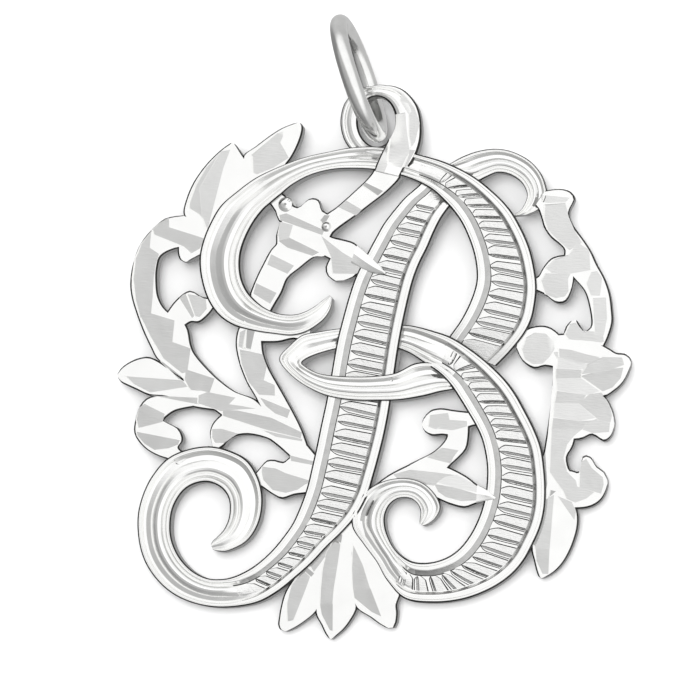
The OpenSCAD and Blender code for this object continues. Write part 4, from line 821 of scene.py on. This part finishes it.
# Bright cuts in the leaves: direction each faces, its tilt along the tent's axis, both in degrees,
# and its corners x, y in hundredths of the plate. A cut deepens the way it faces.
FACETS = (
    # Top left leaves
    (200, 6.0, ((20.0, 94.2), (17.0, 91.0), (15.2, 87.8), (13.9, 84.9), (13.8, 83.9), (15.6, 82.8),
     (16.6, 81.6), (16.2, 87.5))),
    (200, 5.3, ((21.9, 94.6), (20.0, 94.2), (16.2, 87.5), (16.6, 81.6), (17.4, 79.2), (18.0, 80.8),
     (19.2, 86.5), (20.6, 91.2))),
    (200, 5.7, ((26.4, 93.8), (31.0, 97.6), (32.1, 98.1), (32.2, 97.2), (31.6, 96.0), (33.2, 93.3),
     (30.5, 91.6), (27.3, 90.2), (26.4, 90.7))),
    # Frame ribbon
    (215, 6.4, ((10.2, 81.5), (10.3, 79.6), (16.9, 77.6), (15.9, 75.8), (14.2, 74.9), (12.6, 76.4),
     (7.1, 78.5), (6.9, 79.3), (8.2, 80.5))),
    (182, 6.0, ((6.6, 78.9), (6.3, 75.6), (8.0, 74.4), (7.3, 72.4), (6.9, 70.0), (6.9, 66.6), (6.6, 63.0),
     (4.4, 62.6), (3.5, 66.0), (3.1, 70.0), (3.5, 73.6), (4.6, 76.4))),
    (215, 6.0, ((6.6, 62.9), (11.2, 61.4), (10.6, 57.5), (14.2, 56.3), (13.7, 52.0), (12.6, 51.6),
     (9.0, 54.6), (6.6, 58.6), (4.6, 62.4))),
    (215, 6.4, ((13.6, 52.0), (18.9, 50.3), (18.0, 47.8), (14.2, 48.8), (13.4, 50.2))),
    (225, 14, ((8.6, 53.7), (9.4, 53.3), (12.6, 50.8), (12.0, 50.4))),
    # Left leaf and the ribbons beside it
    (250, 5.5, ((2.0, 50.8), (12.6, 50.0), (13.6, 48.8), (8.0, 48.2), (6.6, 47.9), (3.6, 49.3))),
    (250, 6.4, ((6.9, 47.1), (15.8, 46.6), (15.9, 45.4))),
    (235, 6.0, ((16.2, 46.9), (18.0, 47.5), (23.0, 46.6), (21.5, 45.2), (18.6, 44.9), (16.1, 45.6))),
    (240, 6.4, ((20.9, 44.1), (24.0, 44.0), (30.0, 42.6), (36.0, 39.9), (35.8, 38.8), (29.0, 40.6),
     (21.0, 43.0))),
    (240, 5.7, ((17.8, 45.1), (20.6, 45.5), (24.0, 45.0), (27.0, 44.5), (23.5, 44.4), (20.5, 44.1))),
    (240, 6.0, ((28.6, 40.3), (36.1, 38.6), (36.0, 38.2), (31.4, 39.0))),
    (225, 16, ((13.6, 49.6), (14.4, 49.2), (16.2, 48.1), (14.5, 48.4))),
    (225, 6.0, ((4.6, 44.6), (5.6, 45.2), (9.2, 43.5), (8.8, 42.1), (4.3, 41.0), (4.1, 42.6))),
    (240, 6.4, ((4.1, 40.0), (12.2, 38.4), (11.8, 37.6), (10.0, 37.0), (7.4, 36.8), (5.6, 37.8),
     (4.3, 39.2))),
    (220, 5.7, ((18.9, 40.4), (20.6, 40.3), (23.6, 39.6), (22.4, 39.0), (21.0, 38.1), (19.4, 38.1),
     (18.9, 39.0))),
    (200, 6.4, ((12.4, 65.8), (13.4, 66.8), (15.0, 62.8), (14.6, 62.4))),
    (200, 5.7, ((13.9, 66.6), (16.2, 66.1), (17.2, 65.5), (17.3, 64.0), (16.2, 62.6), (15.3, 62.8))),
    (235, 6.4, ((34.2, 35.3), (39.4, 34.0), (39.2, 33.4), (34.4, 34.3))),
    (235, 6.0, ((28.7, 33.1), (31.4, 32.6), (33.0, 31.7), (38.0, 30.4), (36.6, 29.8), (35.2, 28.9),
     (33.0, 28.4), (30.6, 28.9), (28.9, 30.6), (28.6, 32.0))),
    # Waist ribbon
    (215, 15, ((25.3, 59.6), (26.9, 59.6), (26.1, 56.0), (24.7, 56.4))),
    (215, 6.0, ((24.1, 59.0), (25.1, 59.6), (24.5, 56.5), (23.8, 56.8))),
    (200, 6.0, ((24.0, 55.8), (28.6, 54.7), (29.2, 52.6), (28.6, 50.2), (30.7, 49.2), (30.8, 47.2),
     (27.7, 47.5), (25.9, 49.8), (24.5, 53.0))),
    (230, 6.4, ((28.2, 46.5), (33.7, 44.2), (33.2, 42.8), (31.0, 43.8), (29.4, 44.9))),
    # Flower and the ribbons through it
    (245, 7.0, ((31.9, 81.9), (33.3, 82.2), (40.2, 79.1), (39.8, 78.2), (32.1, 81.0))),
    (200, 5.7, ((31.9, 80.5), (34.1, 79.9), (33.4, 77.8), (31.7, 77.3), (31.6, 78.4))),
    (245, 7.4, ((31.8, 76.9), (33.5, 77.6), (39.2, 74.8), (37.9, 74.2), (33.5, 75.7))),
    (245, 6.4, ((30.3, 74.2), (34.3, 72.2), (33.1, 70.8), (29.6, 72.4))),
    (245, 6.4, ((27.4, 68.6), (30.9, 66.9), (29.8, 65.0), (26.9, 66.8))),
    (225, 15, ((48.7, 88.0), (51.6, 86.6), (50.6, 85.8), (48.1, 87.4))),
    (225, 6.4, ((44.9, 84.5), (47.8, 82.8), (46.6, 82.0), (43.5, 83.4))),
    (225, 12, ((39.9, 80.9), (40.5, 81.7), (41.3, 81.7), (40.3, 80.0))),
    (240, 6.0, ((40.1, 77.7), (44.2, 74.3), (48.6, 71.9), (47.8, 71.2), (46.3, 70.7), (42.2, 70.8),
     (42.0, 73.8))),
    # Right-hand frame and its lobes
    (240, 5.5, ((82.6, 85.4), (87.8, 84.9), (87.0, 84.1), (84.0, 84.1), (83.0, 84.2))),
    (184, 6.0, ((83.2, 83.4), (87.2, 83.6), (87.7, 81.0), (88.8, 78.6), (90.2, 76.4), (87.9, 75.0),
     (85.6, 77.2), (83.9, 78.9), (83.1, 81.0))),
    (195, 5.7, ((89.4, 76.0), (91.6, 74.7), (91.8, 71.0), (87.6, 70.4), (84.6, 70.6), (83.6, 71.4),
     (85.4, 73.0), (87.8, 73.6))),
    (200, 6.0, ((82.7, 68.8), (83.5, 70.1), (88.0, 70.0), (87.5, 69.0), (87.6, 67.0), (87.0, 66.1),
     (85.4, 65.8), (83.5, 66.5))),
    (185, 5.7, ((92.3, 70.2), (93.3, 70.4), (94.1, 69.2), (93.8, 66.2), (92.2, 66.3), (91.5, 68.4))),
    (182, 5.7, ((92.6, 65.2), (95.0, 65.3), (95.0, 61.6), (94.6, 58.6), (93.0, 58.7), (92.9, 62.0))),
    (250, 5.7, ((88.0, 58.0), (94.0, 57.0), (94.0, 58.2), (91.2, 58.8), (89.0, 60.2), (88.3, 59.6))),
    (250, 5.7, ((85.2, 55.0), (88.0, 55.2), (93.6, 54.1), (90.5, 52.9), (86.0, 53.6))),
    (200, 5.7, ((79.0, 55.7), (79.8, 57.7), (81.4, 58.6), (83.4, 58.4), (84.7, 57.0), (84.9, 55.7),
     (84.0, 54.4), (82.8, 53.2), (81.0, 53.1), (79.5, 54.0))),
    # Right-hand leaf with its spine and lobes
    (205, 6.4, ((90.3, 50.9), (91.6, 52.6), (94.5, 53.8), (97.9, 53.9), (98.3, 52.6), (95.0, 51.6))),
    (215, 7.0, ((90.3, 50.4), (95.0, 51.4), (98.2, 51.9), (97.6, 50.0), (96.2, 48.5), (94.4, 47.7))),
    (205, 6.4, ((90.1, 45.1), (92.0, 46.7), (94.2, 47.0), (95.5, 45.0), (96.0, 43.0), (95.8, 41.8),
     (93.7, 42.2))),
    (215, 6.0, ((93.4, 42.0), (95.6, 41.4), (95.4, 39.8), (92.6, 39.7), (90.7, 40.2), (91.6, 41.3))),
    (200, 6.0, ((87.3, 58.6), (88.2, 60.3), (89.4, 60.5), (90.4, 59.0), (94.2, 58.9), (94.4, 57.1),
     (88.0, 57.7))),
    (205, 6.4, ((86.0, 55.7), (88.5, 55.3), (94.1, 53.8), (92.1, 52.8), (86.2, 54.2))),
    (190, 4.8, ((86.0, 54.0), (91.8, 52.6), (90.5, 51.9), (85.8, 52.0))),
    (200, 6.4, ((85.6, 51.8), (90.1, 51.6), (90.0, 50.2), (85.5, 50.2))),
    (190, 4.8, ((85.5, 50.0), (90.0, 49.9), (93.6, 47.6), (91.4, 47.0), (85.8, 47.8))),
    (200, 6.4, ((85.7, 47.5), (91.0, 46.8), (90.0, 45.3), (85.3, 45.5))),
    (190, 4.8, ((85.2, 45.3), (89.8, 45.0), (93.0, 42.5), (89.8, 42.0), (85.0, 42.7))),
    (200, 6.4, ((84.9, 42.4), (89.8, 41.7), (92.4, 41.9), (90.6, 40.3), (84.6, 40.5))),
    (200, 5.7, ((84.6, 40.3), (90.4, 40.0), (88.9, 38.7), (87.6, 37.0), (87.2, 34.6), (87.6, 32.4),
     (89.2, 30.6), (89.5, 29.3), (86.4, 29.0), (84.2, 32.2))),
    (200, 8.0, ((82.7, 35.6), (83.4, 35.8), (83.7, 30.0), (83.2, 27.0), (82.7, 29.4))),
    (190, 6.0, ((90.3, 33.6), (91.4, 34.2), (92.3, 32.5), (94.2, 31.0), (94.4, 29.8), (94.0, 28.1),
     (90.0, 29.3), (90.2, 31.6))),
    (190, 5.7, ((86.8, 28.6), (89.4, 29.0), (92.6, 28.1), (91.0, 27.0), (89.2, 26.4), (87.6, 27.0))),
    # Drop leaf
    (184, 5.7, ((83.4, 26.4), (85.0, 27.4), (84.2, 17.5), (81.4, 17.6), (81.1, 19.0), (82.2, 24.0))),
    (190, 6.4, ((81.6, 17.1), (84.1, 17.0), (83.9, 12.7), (82.8, 12.8), (81.9, 15.0))),
    (225, 16, ((84.2, 27.3), (84.5, 28.3), (85.2, 28.2))),
    (225, 5.7, ((86.0, 27.2), (88.4, 26.0), (89.1, 24.6), (88.9, 23.0))),
    # Fan
    (188, 5.7, ((36.7, 13.0), (37.9, 11.9), (36.4, 8.4), (34.8, 3.9), (33.5, 3.6), (33.5, 7.0),
     (34.3, 10.0))),
    (225, 15, ((37.2, 13.8), (38.5, 12.7), (38.0, 12.1), (36.8, 13.2))),
    (215, 6.0, ((38.0, 14.2), (40.6, 17.3), (41.9, 18.5), (41.3, 16.6), (40.1, 15.0), (38.7, 13.0))),
    (225, 18, ((42.5, 19.0), (43.0, 19.9), (44.0, 19.9), (43.8, 18.5))),
    (184, 6.0, ((42.4, 18.5), (43.8, 18.2), (43.0, 13.6), (42.5, 10.0), (42.3, 7.0), (39.8, 7.1),
     (40.0, 10.0), (40.5, 13.4), (41.1, 16.4))),
    (195, 7.0, ((39.9, 6.7), (42.3, 6.5), (42.3, 1.8), (41.7, 2.0), (40.4, 4.6))),
    (186, 6.0, ((46.3, 18.0), (46.2, 13.6), (46.2, 9.8), (49.5, 9.8), (48.0, 14.0))),
    (205, 7.0, ((46.4, 9.4), (49.6, 9.4), (51.6, 4.5), (49.6, 5.5), (47.6, 7.2), (46.7, 7.8))),
    # Leaf inside the lower bowl
    (200, 5.7, ((60.9, 41.0), (61.3, 42.9), (64.4, 43.3), (64.6, 42.2), (62.4, 40.6))),
    (225, 5.7, ((64.7, 42.0), (68.0, 41.8), (68.0, 40.9), (65.6, 40.4), (63.0, 40.5))),
    (250, 6.0, ((60.8, 34.9), (62.0, 35.7), (63.6, 36.5), (66.4, 36.2), (65.4, 35.0), (64.9, 33.9))),
    (250, 5.7, ((54.2, 31.6), (57.6, 32.4), (61.8, 31.9), (65.6, 31.5), (63.0, 30.6), (61.6, 29.6),
     (60.4, 29.9), (56.0, 29.8))),
    (230, 3.8, ((64.2, 31.0), (66.4, 31.3), (69.5, 29.7), (72.4, 27.8), (66.4, 29.2), (62.8, 30.1))),
    (250, 6.2, ((62.2, 29.7), (66.2, 28.8), (72.0, 27.2), (70.6, 26.7), (67.0, 26.7), (64.4, 27.3),
     (63.0, 28.2))),
)


# The same in the eye's band and root
EYE_FACETS = (
    (200, 5.7, ((55.7, 105.2), (57.9, 102.4), (58.8, 99.7), (58.1, 96.2), (57.3, 95.0), (56.8, 97.6),
     (56.9, 101.0), (55.2, 103.8))),
    (195, 5.5, ((54.0, 101.0), (56.2, 101.4), (56.4, 97.6), (56.9, 94.5), (55.5, 91.2), (52.9, 91.9),
     (52.8, 93.4), (53.5, 96.9))),
    (225, 6.4, ((57.1, 94.1), (58.0, 94.1), (56.7, 91.6), (55.9, 91.2))),
)


def facet(shell, top, faces, tilt, corners):
    """What the graver takes away: everything above the tilted face inside the corners."""
    a = math.radians(faces)
    corners = np.array(corners)
    out = corners - corners.mean(axis=0)
    corners = corners + out / np.linalg.norm(out, axis=1)[:, None] * FACET_GROW
    spots = [on_plate(*c) for c in corners]
    along = [p[0] * math.cos(a) + p[1] * math.sin(a) for p in spots]
    slope = math.tan(math.radians(tilt / math.cos(a - TENT_TURN)))
    low = [shell.bm.verts.new(np.append(p, top - (g - min(along)) * slope) * MM)
           for p, g in zip(spots, along)]
    high = [shell.bm.verts.new(np.append(p, top + FACET_OVER) * MM) for p in spots]
    n = len(spots)
    shell.bm.faces.new(low)
    shell.bm.faces.new(high[::-1])
    for i in range(n):
        shell.bm.faces.new((low[i], high[i], high[(i + 1) % n], low[(i + 1) % n]))


def join(base, obj, operation):
    """Adds or cuts away obj and clears it up."""
    mod = base.modifiers.new("join", "BOOLEAN")
    mod.operation = operation
    mod.solver = "MANIFOLD"
    mod.object = obj
    deps = bpy.context.evaluated_depsgraph_get()
    mesh = bpy.data.meshes.new_from_object(base.evaluated_get(deps))
    base.modifiers.clear()
    old = base.data
    base.data = mesh
    bpy.data.meshes.remove(old)
    spent = obj.data
    bpy.data.objects.remove(obj)
    bpy.data.meshes.remove(spent)


def clear_slivers(mesh):
    """Takes out the shortest edges and faces without area, turns every face into triangles and deletes
    doubled faces where more than two faces meet at an edge.
    """
    bm = bmesh.new()
    bm.from_mesh(mesh)
    bmesh.ops.dissolve_degenerate(bm, dist=SLIVER * MM, edges=bm.edges)
    bmesh.ops.triangulate(bm, faces=bm.faces)
    folds = []
    for e in bm.edges:
        if len(e.link_faces) > 2:
            corners = [set(f.verts) for f in e.link_faces]
            folds += [f for f in e.link_faces if corners.count(set(f.verts)) > 1]
    bmesh.ops.delete(bm, geom=folds, context="FACES")
    bm.to_mesh(mesh)
    bm.free()


def casting():
    """Each piece is one operand of the union; the ribbed strokes are cut first."""
    base = None
    for rows, first, last in ((STEM_ROWS, 2, 25), (ARCH_ROWS, 24, 36), (BOWL_ROWS, 3, 21)):
        ribbed = make("ribbed", lambda s: stroke(s, rows))
        join(ribbed, make("cuts", lambda s: rib_cuts(s, rows, first, last)), "DIFFERENCE")
        if base is None:
            base = ribbed
        else:
            join(base, ribbed, "UNION")
    parts = [
        lambda s: stroke(s, LOOP_ROWS),
        lambda s: stroke(s, ARCH_SCROLL_ROWS),
        eye,
        lambda s: leaf(s, EYE_ROOT, EYE_T),
        lambda s: leaf(s, STEM_TIP, STROKE_T + TIP_LIFT, BRIGHT),
        lambda s: leaf(s, BOWL_TIP, STROKE_T + TIP_LIFT, BRIGHT),
    ]
    parts += [lambda s, row=row: bead(s, *row) for row in BEADS]
    for fill in parts:
        join(base, make("piece", fill), "UNION")
    for row in EYE_FACETS:
        join(base, make("cut", lambda s: facet(s, EYE_T - EYE_SHAVE, *row)), "DIFFERENCE")
    leaves = make("leaves", lambda s: leaf(s, LEAVES[0], LEAF_TOP))
    for rows in LEAVES[1:]:
        join(leaves, make("leaf", lambda s: leaf(s, rows, LEAF_TOP)), "UNION")
    for row in FACETS:
        join(leaves, make("cut", lambda s: facet(s, LEAF_TOP, *row)), "DIFFERENCE")
    join(base, leaves, "UNION")
    clear_slivers(base.data)
    return base


plate = casting()
on_table(plate)
plate.name = "initial_plate_cut"
plate.data.name = "initial_plate_cut"
plate.data.shade_smooth()
plate.data.set_sharp_from_angle(angle=SHARP)
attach(plate, BODY)
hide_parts("initial_plate")


def wire_ring():
    """Round wire bent into a closed ring that stands in the eye."""
    turns = 192
    around = 40
    verts = []
    faces = []
    for i in range(turns):
        a = 2 * math.pi * i / turns
        for j in range(around):
            b = 2 * math.pi * j / around
            r = ring_r + WIRE_D / 2 * math.cos(b)
            verts.append((r * math.cos(a), r * math.sin(a), WIRE_D / 2 * math.sin(b)))
            faces.append((
                i * around + j,
                (i + 1) % turns * around + j,
                (i + 1) % turns * around + (j + 1) % around,
                i * around + (j + 1) % around,
            ))
    co = np.array(verts)
    a = math.pi / 2 - RING_LEAN
    tip = np.array([[math.cos(a), 0, math.sin(a)], [0, 1, 0], [-math.sin(a), 0, math.cos(a)]])
    c = math.cos(RING_TURN)
    s = math.sin(RING_TURN)
    turn = np.array([[c, -s, 0], [s, c, 0], [0, 0, 1]])
    co = co @ (turn @ tip).T
    co += [ring_foot[0] - MID_X, ring_foot[1] - MID_Y, ring_z]
    mesh = bpy.data.meshes.new("jump_ring_wire")
    mesh.from_pydata((co * MM).tolist(), [], faces)
    mesh.materials.append(wire)
    mesh.shade_smooth()
    obj = bpy.data.objects.new("jump_ring_wire", mesh)
    bpy.context.scene.collection.objects.link(obj)
    return obj


ring = wire_ring()
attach(ring, BODY)
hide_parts("jump_ring")


def table():
    mesh = bpy.data.meshes.new("table")
    half = 0.6
    mesh.from_pydata(
        [(-half, -half, 0), (half, -half, 0), (half, half, 0), (-half, half, 0)], [],
        [(0, 1, 2, 3)])
    mat = bpy.data.materials.new("white_card")
    mat.use_nodes = True
    shader = mat.node_tree.nodes["Principled BSDF"]
    shader.inputs["Base Color"].default_value = (0.93, 0.93, 0.93, 1)
    shader.inputs["Roughness"].default_value = 0.9
    shader.inputs["Specular IOR Level"].default_value = 0.1
    mesh.materials.append(mat)
    obj = bpy.data.objects.new("table", mesh)
    obj.visible_glossy = False
    bpy.context.scene.collection.objects.link(obj)


table()


def tent():
    """Light tent: bright overhead and to the upper right, greyer to the lower left and low down."""
    world = bpy.data.worlds.new("tent")
    bpy.context.scene.world = world
    world.use_nodes = True
    tree = world.node_tree
    tree.nodes.clear()
    place = node(tree, "TexCoord", {}).outputs["Generated"]
    axis = node(tree, "VectorMath", {0: place, 1: TENT_AXIS}, "DOT_PRODUCT")
    half = node(tree, "MapRange", {"From Min": -1, "From Max": 1, "Value": axis.outputs["Value"]})
    side = node(tree, "ValToRGB", {"Fac": half.outputs["Result"]})
    side.color_ramp.interpolation = "EASE"
    stops = side.color_ramp.elements
    for stop, (_, level) in zip(stops, (TENT_SIDE[0], TENT_SIDE[-1])):
        stop.color = (level,) * 3 + (1,)
    for at, level in TENT_SIDE[1:-1]:
        stops.new((at + 1) / 2).color = (level,) * 3 + (1,)
    split = node(tree, "SeparateXYZ", {"Vector": place})
    low = node(tree, "MapRange", {
        "From Min": TENT_LOW[0], "From Max": TENT_LOW[1], "To Min": TENT_LOW[2], "To Max": 1.0,
        "Value": split.outputs["Z"]})
    low.interpolation_type = "SMOOTHSTEP"
    both = node(tree, "VectorMath", {
        0: side.outputs["Color"], "Scale": low.outputs["Result"]}, "SCALE")
    back = node(tree, "Background", {
        "Color": both.outputs["Vector"], "Strength": TENT_STRENGTH})
    node(tree, "OutputWorld", {"Surface": back.outputs["Background"]})


tent()


def lamp(name, place, size, power):
    """A soft round lamp aimed at the piece; the metal shows the tent and not the lamp."""
    light = bpy.data.lights.new(name, "AREA")
    light.shape = "DISK"
    light.size = size
    light.energy = power
    obj = bpy.data.objects.new(name, light)
    place = np.array(place)
    flat = math.hypot(place[0], place[1])
    obj.location = place.tolist()
    obj.rotation_euler = (math.atan2(flat, place[2]), 0, math.atan2(place[0], -place[1]))
    obj.visible_glossy = False
    bpy.context.scene.collection.objects.link(obj)


lamp("key", (-0.03, 0.035, 0.5), 0.2, 1.1)
lamp("fill", (0.0, 0.0, 0.5), 0.7, 0.8)


def camera():
    side = np.array(CAMERA_SIDE) / np.linalg.norm(CAMERA_SIDE)
    right = np.cross(-side, (0, 1, 0))
    right /= np.linalg.norm(right)
    up = np.cross(side, right)
    c = math.cos(CAMERA_ROLL)
    s = math.sin(CAMERA_ROLL)
    turned_right = right * c + up * s
    turned_up = up * c - right * s
    data = bpy.data.cameras.new("camera")
    data.lens = 300
    data.sensor_width = 36
    data.clip_start = 0.01
    obj = bpy.data.objects.new("camera", data)
    place = (np.array(CAMERA_AIM) + side * CAMERA_FAR) * MM
    matrix = np.eye(4)
    matrix[:3, 0] = turned_right
    matrix[:3, 1] = turned_up
    matrix[:3, 2] = side
    matrix[:3, 3] = place
    obj.matrix_world = Matrix(matrix.tolist())
    bpy.context.scene.collection.objects.link(obj)
    bpy.context.scene.camera = obj


camera()
bpy.context.scene.view_settings.view_transform = "Standard"
bpy.context.scene.view_settings.look = "None"
